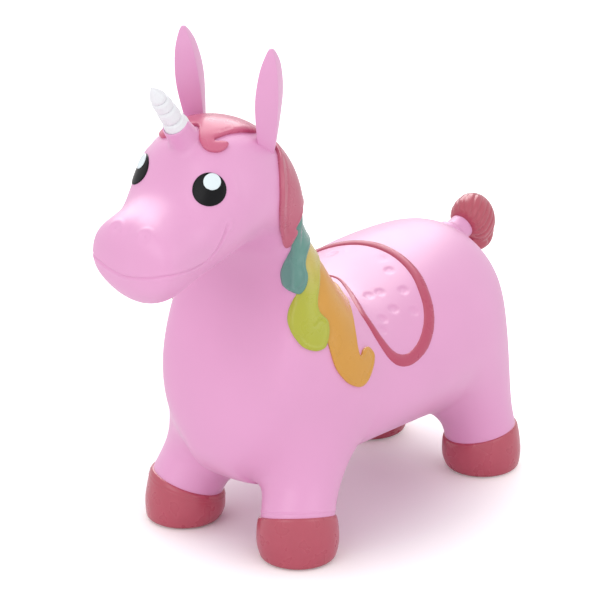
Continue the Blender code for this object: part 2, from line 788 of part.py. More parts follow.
def build_ears(toy, pink, skin_grown):
    """Two ears, each a soft root on the skin and a blade over it."""
    length = (Vector(EAR_TIP) - Vector(EAR_FOOT)).length
    split = (0.83, 0.94)
    for name, side in (("left", 1), ("right", -1)):
        root = toy.add(f"ear_root_{name}", loft([
            ear_ring(side, -0.14, 0.40, 0.62),
            ear_ring(side, 0.00, 0.56, 0.76),
            ear_ring(side, 0.12, 0.71, 0.87),
            ear_ring(side, EAR_SPLIT, *split),
        ]), pink)
        cut(root, "DIFFERENCE", skin_grown)
        pivot = ear_pivot(side)
        blade = loft([
            ear_ring(side, EAR_SPLIT + SEAT_GAP / length, *split),
            ear_ring(side, 0.36, 0.93, 0.98),
            ear_ring(side, 0.48, 1.00, 1.00),
            ear_ring(side, 0.60, 0.99, 0.96),
            ear_ring(side, 0.72, 0.89, 0.85),
            ear_ring(side, 0.83, 0.73, 0.69),
            ear_ring(side, 0.92, 0.48, 0.46),
            ear_ring(side, 0.98, 0.24, 0.25),
            ear_ring(side, 1.00, 0.08, 0.11),
        ])
        blade.transform(Matrix.Translation(-pivot))
        toy.add(f"ear_{name}", blade, pink, place=pivot)


def tail_ring(along, lift, pitch, half_width, half_depth):
    """An oval section of the tail, this far back from its foot and up from it, facing along the pitch."""
    centre = Vector(TAIL_FOOT) + Vector((0, along, lift))
    up = Vector((0, -math.sin(pitch), math.cos(pitch)))
    points = []
    for step in range(20):
        turn = math.radians(18 * step)
        points.append(centre + Vector((half_width * math.cos(turn), 0, 0)) + up * half_depth * math.sin(turn))
    return points


def build_tail(toy, pink, raspberry, skin_grown):
    """The stub on the rump, and the tuft with its flick behind it."""
    back = Vector((0, math.cos(TAIL_PITCH), math.sin(TAIL_PITCH)))
    radius = TAIL_RADIUS
    stub = toy.add("tail_stub", loft([
        tail_ring(*(back * -0.030).yz, TAIL_PITCH, radius + 0.0010, radius + 0.0010),
        tail_ring(*(back * -0.010).yz, TAIL_PITCH, radius, radius),
        tail_ring(0, 0, TAIL_PITCH, radius - 0.0004, radius - 0.0004),
    ]), pink)
    cut(stub, "DIFFERENCE", skin_grown)
    width, height = TUFT_WIDTH / 2, TUFT_HEIGHT / 2
    start = back * SEAT_GAP
    pivot = Vector(TAIL_FOOT) - back * TAIL_PIVOT
    tuft_mesh = loft([
        tail_ring(start.y, start.z, TAIL_PITCH, radius, radius),
        tail_ring(0.0035, 0.0015, TAIL_PITCH, 0.84 * width, 0.68 * height),
        tail_ring(0.0100, 0.0028, TAIL_PITCH * 0.7, 0.97 * width, 0.90 * height),
        tail_ring(0.0190, 0.0028, TAIL_PITCH * 0.3, width, height),
        tail_ring(0.0290, 0.0010, 0, 0.93 * width, 0.90 * height),
        tail_ring(0.0370, -0.0010, 0, 0.72 * width, 0.68 * height),
        tail_ring(0.0425, -0.0025, 0, 0.38 * width, 0.36 * height),
        tail_ring(0.0440, -0.0030, 0, 0.12 * width, 0.12 * height),
    ])
    tuft_mesh.transform(Matrix.Translation(-pivot))
    tuft = toy.add("tail_tuft", tuft_mesh, raspberry, place=pivot)
    flick = toy.add("tail_flick", loft([
        tail_ring(0.0140, -0.0160, math.radians(-60), 0.0080, 0.0080),
        tail_ring(0.0240, -0.0230, math.radians(-25), 0.0120, 0.0100),
        tail_ring(0.0350, -0.0220, math.radians(20), 0.0105, 0.0085),
        tail_ring(0.0440, -0.0165, math.radians(45), 0.0070, 0.0055),
        tail_ring(0.0490, -0.0110, math.radians(55), 0.0025, 0.0020),
    ]))
    cut(tuft, "UNION", flick)
    return tuft


def build_mane(toy, paints, tree, skin_grown):
    """The crown between the ears and the four lock pairs down the neck, each pair one piece over the crest."""
    for name, colour, patch, outline, height, spacing in (
        ("mane_crown", "raspberry", plan_patch, crown_outline(), CROWN_HEIGHT, RELIEF_SPACING),
        ("mane_raspberry", "raspberry", neck_patch, raspberry_outline(), LOCK_HEIGHT, RELIEF_SPACING),
        ("mane_teal", "teal", neck_patch, teal_outline(), LOCK_HEIGHT, TIGHT_SPACING),
        ("mane_lime", "lime", neck_patch, lime_outline(), LOCK_HEIGHT, TIGHT_SPACING),
        ("mane_orange", "orange", barrel_patch, orange_outline(), LOCK_HEIGHT, RELIEF_SPACING),
    ):
        piece = toy.add(name, relief(tree, patch, outline, height, SEAT_SINK, 0.006, spacing), paints[colour])
        halves(piece)
        cut(piece, "DIFFERENCE", skin_grown)


def build_rim(toy, raspberry, tree, skin_grown):
    """The raised line round the seat."""
    outline, middle = rim_outline()
    rim = toy.add("saddle_rim", relief(
        tree, barrel_patch, outline, RIM_HEIGHT, SEAT_SINK, 0.0035, middle=middle[1:-1],
    ), raspberry)
    halves(rim)
    cut(rim, "DIFFERENCE", skin_grown)


def build_eyes(toy, paints, tree, skin_grown):
    """Raised eyes, each with a raised white spot on it."""
    eye = disc_outline(EYE_RADIUS, 28)
    glint = disc_outline(GLINT_RADIUS, 18, GLINT_PLACE)
    lift = SEAT_GAP + EYE_HEIGHT + SEAT_GAP
    for name, side in (("left", 1), ("right", -1)):
        for part_name, colour, outline, height, sink in (
            ("eye", "black", eye, SEAT_GAP + EYE_HEIGHT, SEAT_SINK),
            ("eye_glint", "white", glint, lift + GLINT_HEIGHT, -lift),
        ):
            bm = relief(tree, eye_patch, outline, height, sink, 0.0001, spacing=0.006)
            if side < 0:
                bmesh.ops.scale(bm, vec=(-1, 1, 1), verts=bm.verts)
                bmesh.ops.reverse_faces(bm, faces=bm.faces)
            obj = toy.add(f"{part_name}_{name}", bm, paints[colour])
            if sink > 0:
                cut(obj, "DIFFERENCE", skin_grown)


def build_valve(toy, white, tree):
    """The bush in the belly, and the plug that is pushed into it from below."""
    x, y = VALVE_PLACE
    around = [Vector((x + VALVE_FLANGE * sx, y + VALVE_FLANGE * sy, 0)) for sx in (-1, 0, 1) for sy in (-1, 0, 1)]
    belly = min(tree.ray_cast(place, Vector((0, 0, 1)))[0].z for place in around)
    face = belly - SEAT_GAP
    flange = face - FLANGE_THICKNESS
    seat = toy.add("valve_seat", lathe([
        (VALVE_BORE, flange),
        (VALVE_FLANGE, flange),
        (VALVE_FLANGE, face),
        (VALVE_RADIUS, face),
        (VALVE_RADIUS, flange + VALVE_LENGTH),
        (VALVE_BORE, flange + VALVE_LENGTH),
    ], close=True), white, place=(x, y, 0))
    spin(seat, VALVE_STEPS)
    shaft = VALVE_BORE - PLUG_CLEARANCE
    plug = toy.add("air_plug", lathe([
        (0, -0.0020),
        (PLUG_HEAD - 0.0006, -0.0020),
        (PLUG_HEAD, -0.0014),
        (PLUG_HEAD, 0),
        (shaft, 0),
        (shaft, PLUG_LENGTH - 0.0010),
        (shaft - 0.0010, PLUG_LENGTH),
        (0, PLUG_LENGTH),
    ]), white, place=(x, y, flange - SEAT_GAP))
    spin(plug, VALVE_STEPS)


def main():
    for obj in list(bpy.data.objects):
        bpy.data.objects.remove(obj)
    toy = Toy()
    paints = {
        "pink": paint("pink_pvc", PINK, 0.38),
        "raspberry": paint("raspberry_paint", RASPBERRY, 0.30),
        "teal": paint("teal_paint", TEAL, 0.30),
        "lime": paint("lime_paint", LIME, 0.30),
        "orange": paint("orange_paint", ORANGE, 0.30),
        "black": paint("black_paint", BLACK, 0.22),
        "white": paint("white_paint", WHITE, 0.35),
    }
    tree, nose = build_skin(toy, paints["pink"])
    skin_grown = skin_volume(toy, "skin_grown", skin_cage(-SEAT_GAP - SEAT_SLACK), SKIN_LEVELS)
    build_hooves(toy, paints["raspberry"])
    build_horn(toy, paints["white"])
    build_ears(toy, paints["pink"], skin_grown)
    tuft = build_tail(toy, paints["pink"], paints["raspberry"], skin_grown)
    build_mane(toy, paints, tree, skin_grown)
    build_rim(toy, paints["raspberry"], tree, skin_grown)
    build_eyes(toy, paints, tree, skin_grown)
    build_valve(toy, paints["white"], tree)
    toy.root.location.y = -(nose + surface_of(tuft)[2]) / 2


main()
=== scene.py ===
# %% [markdown]
# # An inflatable unicorn hopper
#
# The real toy is one moulding of soft PVC. A hot mould turns slowly while the liquid plastic sets on its
# walls, so the skin comes out hollow and has no sharp edges. Masks and a spray gun then colour the hooves,
# the mane, the saddle line and the eyes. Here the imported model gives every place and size, and this lesson
# gives the surfaces: first the frame, then the paints, the skin, the trim, the light and the camera.

import json
import math

import bmesh
import bpy
import numpy as np
from mathutils import Matrix, Vector
from mathutils.bvhtree import BVHTree
from mathutils.geometry import delaunay_2d_cdt

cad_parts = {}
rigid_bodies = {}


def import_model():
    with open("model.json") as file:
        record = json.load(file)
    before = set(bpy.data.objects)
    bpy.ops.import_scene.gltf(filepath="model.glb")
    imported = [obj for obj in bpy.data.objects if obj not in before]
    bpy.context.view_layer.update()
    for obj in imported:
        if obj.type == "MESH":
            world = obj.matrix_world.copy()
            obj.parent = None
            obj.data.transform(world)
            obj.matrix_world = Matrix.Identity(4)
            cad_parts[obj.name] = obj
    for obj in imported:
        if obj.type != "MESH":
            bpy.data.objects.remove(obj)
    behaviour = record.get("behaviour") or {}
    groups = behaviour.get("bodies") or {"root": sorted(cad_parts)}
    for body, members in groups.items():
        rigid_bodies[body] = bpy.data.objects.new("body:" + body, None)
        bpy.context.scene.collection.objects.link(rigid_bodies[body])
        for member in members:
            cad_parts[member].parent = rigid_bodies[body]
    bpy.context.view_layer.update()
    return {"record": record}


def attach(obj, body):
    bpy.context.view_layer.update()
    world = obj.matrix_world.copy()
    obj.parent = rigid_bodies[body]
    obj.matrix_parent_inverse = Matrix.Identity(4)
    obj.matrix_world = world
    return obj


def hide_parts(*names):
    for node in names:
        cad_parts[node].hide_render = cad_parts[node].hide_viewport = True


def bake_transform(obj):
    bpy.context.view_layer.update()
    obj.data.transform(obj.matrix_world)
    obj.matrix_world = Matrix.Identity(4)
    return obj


for obj in list(bpy.data.objects):
    bpy.data.objects.remove(obj)
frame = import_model()
soles = np.array([mount["pos_m"] for mount in frame["record"]["mounts"]])
MIDDLE = Vector(soles.mean(axis=0))

# %% [markdown]
# ## Helpers
#
# Everything below is laid out round the middle of the soles, because that is how a modeller measures such a
# toy: legs first. Each finished mesh is then moved by that one offset, so that its object can stay at the
# origin. A Catmull-Rom line runs through all of its points, which suits listed outlines better than a
# Bezier curve, whose handles would have to be written out too.

# %% Curves, meshes and finished pieces
TINY = 1e-6
COARSE, FINE = 64, 96


def smooth_line(points, spacing, measured=3):
    """A smooth line through these points, sampled about this far apart in its first few numbers.

    Where its second number ends on 0, the centre line, it ends square to that.
    """
    points = np.asarray(points, float)
    across = np.ones(points.shape[1])
    across[1] = -1
    first = points[1] * across if abs(points[0, 1]) < TINY else points[0]
    last = points[-2] * across if abs(points[-1, 1]) < TINY else points[-1]
    padded = np.vstack([first, points, last])
    line = []
    for before, start, stop, after in zip(padded, padded[1:], padded[2:], padded[3:]):
        steps = max(1, round(np.linalg.norm((stop - start)[:measured]) / spacing))
        for share in np.arange(steps) / steps:
            line.append(0.5 * (
                2 * start + (stop - before) * share + (2 * before - 5 * start + 4 * stop - after) * share ** 2
                + (3 * start - before - 3 * stop + after) * share ** 3
            ))
    return np.array(line + [points[-1]])


def circle(steps):
    """The cosines and the sines of this many even turns, each as a column."""
    turns = 2 * np.pi * np.arange(steps)[:, None] / steps
    return np.cos(turns), np.sin(turns)


def add_object(name, data):
    """A new object in the scene."""
    obj = bpy.data.objects.new(name, data)
    bpy.context.scene.collection.objects.link(obj)
    return obj


def mesh_object(name, verts, edges=(), faces=()):
    """A new object from points, edges and faces."""
    mesh = bpy.data.meshes.new(name)
    mesh.from_pydata([tuple(vert) for vert in verts], edges, [tuple(face) for face in faces])
    return add_object(name, mesh)


def new_piece(name, verts, faces):
    """A piece from points measured from the middle of the soles, with its normals turned outwards."""
    piece = mesh_object(name, verts, faces=faces)
    piece.data.transform(Matrix.Translation(MIDDLE))
    bm = bmesh.new()
    bm.from_mesh(piece.data)
    bmesh.ops.remove_doubles(bm, verts=bm.verts, dist=TINY)
    bmesh.ops.recalc_face_normals(bm, faces=bm.faces)
    bm.to_mesh(piece.data)
    bm.free()
    piece.data.shade_smooth()
    return piece


def apply_modifiers(piece):
    """Turns what the modifiers make into the piece's own mesh."""
    bpy.context.view_layer.update()
    mesh = bpy.data.meshes.new_from_object(piece.evaluated_get(bpy.context.evaluated_depsgraph_get()))
    piece.modifiers.clear()
    piece.data = mesh
    mesh.shade_smooth()
    return piece


def vectors_of(items, label):
    """One vector of each of these items of a mesh, as an array."""
    values = np.empty(len(items) * 3)
    items.foreach_get(label, values)
    return values.reshape(-1, 3)


def points_of(piece):
    """The piece's vertices as an array."""
    return vectors_of(piece.data.vertices, "co")


def normals_of(piece):
    """The piece's vertex normals as an array."""
    return vectors_of(piece.data.vertex_normals, "vector")


def move_points(piece, co):
    """Puts the piece's vertices at these places."""
    piece.data.vertices.foreach_set("co", np.asarray(co, float).ravel())
    piece.data.update()


def loft(name, rings, bore=False):
    """A closed piece through rings of points. Its ends are filled, or joined by a bore."""
    rings = np.asarray(rings)
    count, around = rings.shape[:2]
    faces = []
    for ring in range(count if bore else count - 1):
        low, high = ring * around, (ring + 1) % count * around
        for step in range(around):
            after = (step + 1) % around
            faces.append((low + step, low + after, high + after, high + step))
    if not bore:
        faces += [range(around), range((count - 1) * around, count * around)]
    return new_piece(name, rings.reshape(-1, 3), faces)


def turned(name, profile, foot, axis, steps, bore=False):
    """A lathe-turned piece: (radius, height) points, spun round an axis through its foot."""
    axis = np.array(Vector(axis).normalized())
    side = np.array(Vector(axis).orthogonal().normalized())
    cosines, sines = circle(steps)
    spokes = cosines * side + sines * np.cross(axis, side)
    rings = [np.asarray(foot) + axis * height + max(radius, 1e-5) * spokes for radius, height in profile]
    return loft(name, rings, bore)


def finish_piece(piece, material, slot, body, *nodes):
    """Gives a piece its paint and its place among the bodies, and hides the CAD nodes it stands for."""
    piece.data.materials.clear()
    piece.data.materials.append(material)
    if isinstance(body, str):
        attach(piece, body)
    else:
        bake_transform(piece)
    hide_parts(*nodes)
    print(piece.name, len(piece.data.polygons), "faces")

# %% [markdown]
# ## Paint and vinyl
#
# Colours are written as a painter reads them off the toy, out of 255, and turned into the linear values
# that shaders take. Two effects are used by several materials, so each is a node group. Moulded vinyl is
# never quite even: its colour clouds a little where the wall is thinner, its gloss changes in soft patches,
# and its surface keeps a faint orange peel from the mould. Sprayed paint lies in a thin film on top: it
# pools, so its colour varies in longer drifts, and it is glossier than what it covers.

# %% The node groups
SURFACE = [("Colour", "Color"), ("Roughness", "Float"), ("Height", "Float")]
CLOUD_SCALE, GLOSS_SCALE, PEEL_SCALE, WAVE_SCALE, PEEL_SHARE = 9.0, 22.0, 520.0, 30.0, 0.08
DRIFT_SCALE, FILM_SCALE, RUN_SCALE, FILM_GLOSS = 26.0, 60.0, 240.0, (0.24, 0.36)


def linear(colour):
    """A colour out of 255 as linear values with full alpha."""
    shares = [value / 255 for value in colour]
    return [((share + 0.055) / 1.055) ** 2.4 if share > 0.04 else share / 12.92 for share in shares] + [1]


def new_tree(kind, name, inputs, outputs):
    """A node tree with these (label, type) sockets, with what it is given and where its results go."""
    tree = bpy.data.node_groups.new(name, kind)
    for direction, sockets in (("INPUT", inputs), ("OUTPUT", outputs)):
        for label, socket in sockets:
            tree.interface.new_socket(name=label, in_out=direction, socket_type=f"NodeSocket{socket}")
    return tree, tree.nodes.new("NodeGroupInput").outputs, tree.nodes.new("NodeGroupOutput")


def feed(tree, node, inputs):
    """Gives inputs of a node their plain values, or links other nodes' outputs to them."""
    for label, value in inputs.items():
        if isinstance(value, bpy.types.NodeSocket):
            tree.links.new(value, node.inputs[label])
        else:
            node.inputs[label].default_value = value


def add_node(tree, kind, inputs=(), **settings):
    """Adds a node with these inputs and settings, and returns its outputs."""
    node = tree.nodes.new(kind)
    for label, value in settings.items():
        setattr(node, label, value)
    feed(tree, node, dict(inputs))
    return node.outputs


def maths(tree, operation, *values):
    """One step of arithmetic on numbers or outputs."""
    return add_node(tree, "ShaderNodeMath", enumerate(values), operation=operation)[0]


def noise(tree, vector, scale, detail=2.0, roughness=0.5):
    """A noise texture on this vector, between 0 and 1."""
    values = {"Vector": vector, "Scale": scale, "Detail": detail, "Roughness": roughness}
    return add_node(tree, "ShaderNodeTexNoise", values)[0]


def remap(tree, value, low, high, start=0.3, stop=0.7, kind="LINEAR"):
    """Maps a value from start..stop to low..high, which are numbers or outputs."""
    ends = {"Value": value, "From Min": start, "From Max": stop, "To Min": low, "To Max": high}
    return add_node(tree, "ShaderNodeMapRange", ends, interpolation_type=kind)[0]


def scaled(tree, vector, factor):
    """A vector or a colour times a value."""
    return add_node(tree, "ShaderNodeVectorMath", {0: vector, "Scale": factor}, operation="SCALE")[0]


def make_vinyl_group():
    """Clouded colour, patchy gloss and a faint peel of moulded PVC."""
    group, given, result = new_tree("ShaderNodeTree", "moulded vinyl", [
        ("Colour", "Color"), ("Cloud", "Float"), ("Gloss low", "Float"), ("Gloss high", "Float"),
    ], SURFACE)
    place = add_node(group, "ShaderNodeTexCoord")["Object"]
    darkest = maths(group, "SUBTRACT", 1.0, given["Cloud"])
    cloud = remap(group, noise(group, place, CLOUD_SCALE, 3.0), darkest, 1.0)
    peel, waves = noise(group, place, PEEL_SCALE, 1.0), noise(group, place, WAVE_SCALE, 1.0)
    gloss = noise(group, place, GLOSS_SCALE)
    feed(group, result, {
        "Colour": scaled(group, given["Colour"], cloud),
        "Roughness": remap(group, gloss, given["Gloss low"], given["Gloss high"]),
        "Height": maths(group, "MULTIPLY_ADD", peel, PEEL_SHARE, waves),
    })
    return group


def make_paint_group():
    """Drifting depth of colour and the faint run of a sprayed film."""
    group, given, result = new_tree("ShaderNodeTree", "sprayed paint", [
        ("Colour", "Color"), ("Second colour", "Color"), ("Mix", "Float"), ("Drift", "Float"),
    ], SURFACE)
    place = add_node(group, "ShaderNodeTexCoord")["Object"]
    blend = {0: given["Mix"], 6: given["Colour"], 7: given["Second colour"]}
    colour = add_node(group, "ShaderNodeMix", blend, data_type="RGBA")[2]
    darkest = maths(group, "SUBTRACT", 1.0, given["Drift"])
    drift = remap(group, noise(group, place, DRIFT_SCALE, 4.0, 0.6), darkest, 1.0)
    feed(group, result, {
        "Colour": scaled(group, colour, drift),
        "Roughness": remap(group, noise(group, place, FILM_SCALE), *FILM_GLOSS),
        "Height": noise(group, place, RUN_SCALE),
    })
    return group


VINYL = make_vinyl_group()
PAINT = make_paint_group()
print("node groups", VINYL.name, "and", PAINT.name)

# %% [markdown]
# Each material keeps its own Principled shader and only takes colours and heights from a group. The bump is
# very weak: a child's toy looks soft because its highlights are broad, and a strong bump would break them.

# %% The materials
PINK = (232, 163, 208)
RASPBERRY = (186, 80, 98)
ROSE = (208, 108, 138)
MANE_ROSE = (194, 98, 122)
LINE_ROSE = (190, 82, 110)
TEAL = (96, 146, 136)
LIME = (178, 182, 52)
TAN = (214, 186, 110)
ORANGE = (216, 158, 72)
BLACK = (16, 16, 19)
HORN_WHITE = (238, 239, 243)
GLINT_WHITE = (230, 243, 247)
VINYL_BUMP, PAINT_BUMP, COAT_ROUGHNESS = 0.10, 0.03, 0.18


def make_material(name, group, values, bump, shine):
    """A Principled material fed by a group. values are the group's inputs, and shine sits on the shader."""
    material = bpy.data.materials.new(name)
    material.use_nodes = True
    material.diffuse_color = values["Colour"]
    tree = material.node_tree
    source = add_node(tree, "ShaderNodeGroup", values, node_tree=group)
    uneven = {"Strength": bump, "Distance": 0.001, "Height": source["Height"]}
    feed(tree, tree.nodes["Principled BSDF"], {
        "Base Color": source["Colour"], "Roughness": source["Roughness"], "IOR": 1.5,
        "Normal": add_node(tree, "ShaderNodeBump", uneven)[0], **shine,
    })
    return material


def painted(name, colour, second=None, drift=0.05, coat=0.25, specular=0.5):
    """A sprayed paint, with a second colour where it fades."""
    return make_material(name, PAINT, {
        "Colour": linear(colour), "Second colour": linear(second or colour), "Mix": 0.0, "Drift": drift,
    }, PAINT_BUMP, {"Coat Weight": coat, "Coat Roughness": COAT_ROUGHNESS, "Specular IOR Level": specular})


pink_vinyl = make_material("pink vinyl", VINYL, {
    "Colour": linear(PINK), "Cloud": 0.05, "Gloss low": 0.40, "Gloss high": 0.50,
}, VINYL_BUMP, {"Coat Weight": 0.50, "Coat Roughness": 0.38, "Sheen Weight": 0.10, "Sheen Roughness": 0.5})
raspberry_paint = painted("raspberry paint", RASPBERRY)
crown_paint = painted("rose crown paint", ROSE, coat=0.1, specular=0.3)
mane_paint = painted("rose mane paint", MANE_ROSE)
line_paint = painted("rose line paint", LINE_ROSE, coat=0.1, specular=0.3)
teal_paint = painted("teal paint", TEAL)
lime_paint = painted("lime paint", LIME, TAN)
orange_paint = painted("orange paint", ORANGE, coat=0.1, specular=0.3)
black_paint = painted("black eye paint", BLACK, drift=0.0, coat=0.0, specular=0.16)
glint_paint = painted("white eye paint", GLINT_WHITE, drift=0.02)
horn_paint = painted("white horn paint", HORN_WHITE, drift=0.03, coat=0.1)
white_plastic = painted("white plug plastic", HORN_WHITE, drift=0.02, coat=0.1)
print("materials", len(bpy.data.materials))

# %% [markdown]
# The lime lock was sprayed after the orange one, so its top is a warm tan that fades into green on the way
# down. A height mask does this: object coordinates are in metres, and a Map Range turns the height of the
# point into how much of the second colour shows.

# %% The fade on the lime lock
FADE_LOW, FADE_HIGH, FADE_SHARE = 0.268, 0.305, 0.9
tree = lime_paint.node_tree
place = add_node(tree, "ShaderNodeTexCoord")["Object"]
height = add_node(tree, "ShaderNodeSeparateXYZ", {0: place})["Z"]
fade = remap(tree, height, 0.0, FADE_SHARE, FADE_LOW, FADE_HIGH)
feed(tree, next(node for node in tree.nodes if node.type == "GROUP"), {"Mix": fade})
print("lime turns to tan from", FADE_LOW, "to", FADE_HIGH, "m up")

# %% [markdown]
# ## The skin
#
# The trunk, neck, head and legs are one surface, so they are one control cage, smoothed by subdivision. Its
# sections run from the rump to the nose, and each is half an ellipse between a crest and a keel. The legs
# leave the trunk through the holes of missing faces, as they would in any animal model. This cage has the
# same numbers as the solid in the frame, and only its smoothing is finer.

# %% The sizes of the skin
WHEELBASE, TRACK = 0.289, 0.148
SPLAY = {1: math.radians(8), -1: math.radians(14)}
THIGH = {1: (0.067, 0.131, 0.090), -1: (0.058, -0.117, 0.086)}
LEG_RADIUS, THIGH_RADIUS, THIGH_DROP = 0.0360, 0.0410, 0.024
LEG_OVERRUN = 0.010
HOOF_HEIGHT, HOOF_LEAN, SOLE_RADIUS = 0.041, 0.35, 0.030
CROTCH_REACH, CROTCH_LIFT = 0.032, 0.001
CHEST_FULLNESS, KNEE_SHARE = 1.15, 0.35
END_BULGE, SIDE_BULGE = 0.010, 0.8
LEG_STEPS = 8
SECTION_STEPS = 6
LEG_COLUMNS = (3, 4, 5)
LEG_STATIONS = {1: (1, 2, 3), -1: (5, 6, 7)}
STATIONS = [
    ((0.189, 0.213), (0.174, 0.118), 0.060),
    ((0.166, 0.246), (0.156, 0.075), 0.090),
    ((0.120, 0.247), (0.128, 0.054), 0.111),
    ((0.065, 0.245), (0.080, 0.060), 0.119),
    ((0.002, 0.227), (-0.010, 0.069), 0.117),
    ((-0.039, 0.228), (-0.092, 0.065), 0.112),
    ((-0.073, 0.275), (-0.153, 0.061), 0.112),
    ((-0.100, 0.335), (-0.208, 0.108), 0.088),
    ((-0.108, 0.374), (-0.162, 0.210), 0.057),
    ((-0.116, 0.406), (-0.132, 0.286), 0.065),
    ((-0.151, 0.435), (-0.163, 0.322), 0.068),
    ((-0.203, 0.442), (-0.207, 0.307), 0.071),
    ((-0.234, 0.424), (-0.248, 0.292), 0.053),
    ((-0.247, 0.380), (-0.281, 0.282), 0.052),
    ((-0.294, 0.370), (-0.302, 0.297), 0.054),
]


# %% The cage
def ring_growth(points_round):
    """How far a subdivided ring of this many points shrinks, turned over."""
    return 6 / (4 + 2 * math.cos(2 * math.pi / points_round))


def leg_frame(side, end):
    """Sole centre, upward leg axis, outward and forward directions of one leg."""
    sole = Vector((side * TRACK / 2, end * WHEELBASE / 2, 0))
    lean = math.tan(SPLAY[end])
    up = Vector((-side * lean, -end * lean, 1)).normalized()
    out = Vector((side, 0, 0))
    out = (out - up * out.dot(up)).normalized()
    front = Vector((0, -1, 0))
    front = (front - up * front.dot(up) - out * front.dot(out)).normalized()
    return sole, up, out, front


def hoof_centre(side, end, lift):
    """The middle of the hoof at this height."""
    sole, up, *_ = leg_frame(side, end)
    return sole + Vector((up.x * HOOF_LEAN, up.y * HOOF_LEAN, 1)) * lift


def section_ring(bm, crest, keel, half_width):
    """Half a section of the cage, from its crest down the left side to its keel."""
    grow = ring_growth(2 * SECTION_STEPS)
    top, low = Vector((0, *crest)), Vector((0, *keel))
    centre = (top + low) / 2
    up = (top - low) / 2 * grow
    across = Vector((half_width, 0, 0)) * grow
    points = []
    for step in range(SECTION_STEPS + 1):
        turn = math.pi * step / SECTION_STEPS
        points.append(centre + up * math.cos(turn) + across * math.sin(turn))
    points[0].x = points[-1].x = 0
    return [bm.verts.new(point) for point in points]


def close_end(bm, ring, bulge):
    """Four quads over an end section, pushed out by the bulge."""
    middle = (ring[0].co + ring[-1].co) / 2
    inner = bm.verts.new(middle + bulge)
    outer = bm.verts.new(middle.lerp(ring[SECTION_STEPS // 2].co, 0.5) + bulge * SIDE_BULGE)
    for quad in ((ring[0], ring[1], outer, inner), (ring[1], ring[2], ring[3], outer),
                 (inner, outer, ring[5], ring[6]), (outer, ring[3], ring[4], ring[5])):
        bm.faces.new(quad)


def grow_leg(bm, rings, rows, end):
    """Runs the left leg down from its block of the trunk, into the hoof."""
    top, mid, low = LEG_COLUMNS
    back, centre, front = rows
    loop = [rings[centre][top], rings[front][top], rings[front][mid], rings[front][low],
            rings[centre][low], rings[back][low], rings[back][mid], rings[back][top]]
    bm.verts.remove(rings[centre][mid])
    _, up, out, forward = leg_frame(1, end)
    hoof_line = hoof_centre(1, end, HOOF_HEIGHT)
    thigh = Vector(THIGH[end])
    for centre, radius, drop in (
        (thigh, THIGH_RADIUS, THIGH_DROP),
        (hoof_line.lerp(thigh, KNEE_SHARE), LEG_RADIUS, 0),
        (hoof_line, LEG_RADIUS, 0),
        (hoof_line - up * LEG_OVERRUN, LEG_RADIUS, 0),
    ):
        ring = []
        for step in range(LEG_STEPS):
            turn = math.radians(360 / LEG_STEPS * step)
            spoke = (out * math.cos(turn) + forward * math.sin(turn)) * radius
            point = centre + spoke * ring_growth(LEG_STEPS)
            point.z -= drop * (1 - math.cos(turn)) / 2
            ring.append(bm.verts.new(point))
        for step in range(LEG_STEPS):
            after = (step + 1) % LEG_STEPS
            bm.faces.new((loop[step], loop[after], ring[after], ring[step]))
        loop = ring
    bm.faces.new(loop)


def skin_cage():
    """The left half of the skin's control cage, open only at the centre plane."""
    bm = bmesh.new()
    rings = [section_ring(bm, *station) for station in STATIONS]
    for vert in rings[LEG_STATIONS[-1][-1]][LEG_COLUMNS[1]:-1]:
        vert.co.x *= CHEST_FULLNESS
    for number in LEG_STATIONS[1] + LEG_STATIONS[-1]:
        rings[number][LEG_COLUMNS[-1]].co = rings[number][-1].co + Vector((CROTCH_REACH, 0, CROTCH_LIFT))
    leg_rows = LEG_STATIONS[1][:-1] + LEG_STATIONS[-1][:-1]
    for number, (here, ahead) in enumerate(zip(rings, rings[1:])):
        for column in range(SECTION_STEPS):
            if number not in leg_rows or column not in LEG_COLUMNS[:-1]:
                bm.faces.new((here[column], here[column + 1], ahead[column + 1], ahead[column]))
    close_end(bm, rings[0], Vector((0, END_BULGE, 0)))
    close_end(bm, rings[-1], Vector((0, -END_BULGE, 0)))
    for end in (1, -1):
        grow_leg(bm, rings, LEG_STATIONS[end], end)
    bmesh.ops.recalc_face_normals(bm, faces=bm.faces)
    return bm


# %% Smooth the cage
def smooth_skin(name, levels):
    """The mirrored and subdivided skin, as a plain mesh in the toy's own coordinates."""
    piece = mesh_object(name, [])
    cage = skin_cage()
    cage.to_mesh(piece.data)
    cage.free()
    piece.modifiers.new("Mirror", "MIRROR").merge_threshold = 0.0001
    rounding = piece.modifiers.new("Subdivision", "SUBSURF")
    rounding.levels = rounding.render_levels = levels
    return apply_modifiers(piece)


skin = smooth_skin("skin", 4)
skin_points = points_of(skin)
skin_faces = [list(face.vertices) for face in skin.data.polygons]
SKIN = BVHTree.FromPolygons([Vector(point) for point in skin_points], skin_faces)
low, high = skin_points.min(axis=0), skin_points.max(axis=0)
print("skin", len(skin_faces), "faces, from", low.round(3), "to", high.round(3))

# %% [markdown]
# ## The soft details of the head
#
# A nostril, a smile or a brow is only a millimetre deep here, because the mould was carved before the
# plastic went in. Subdividing the whole animal for them would waste faces, so only the faces near a detail
# are cut finer and then relaxed. The detail itself is a push along the normals, and its strength falls off
# with the distance to a line or a point, as a sculpting brush's does.

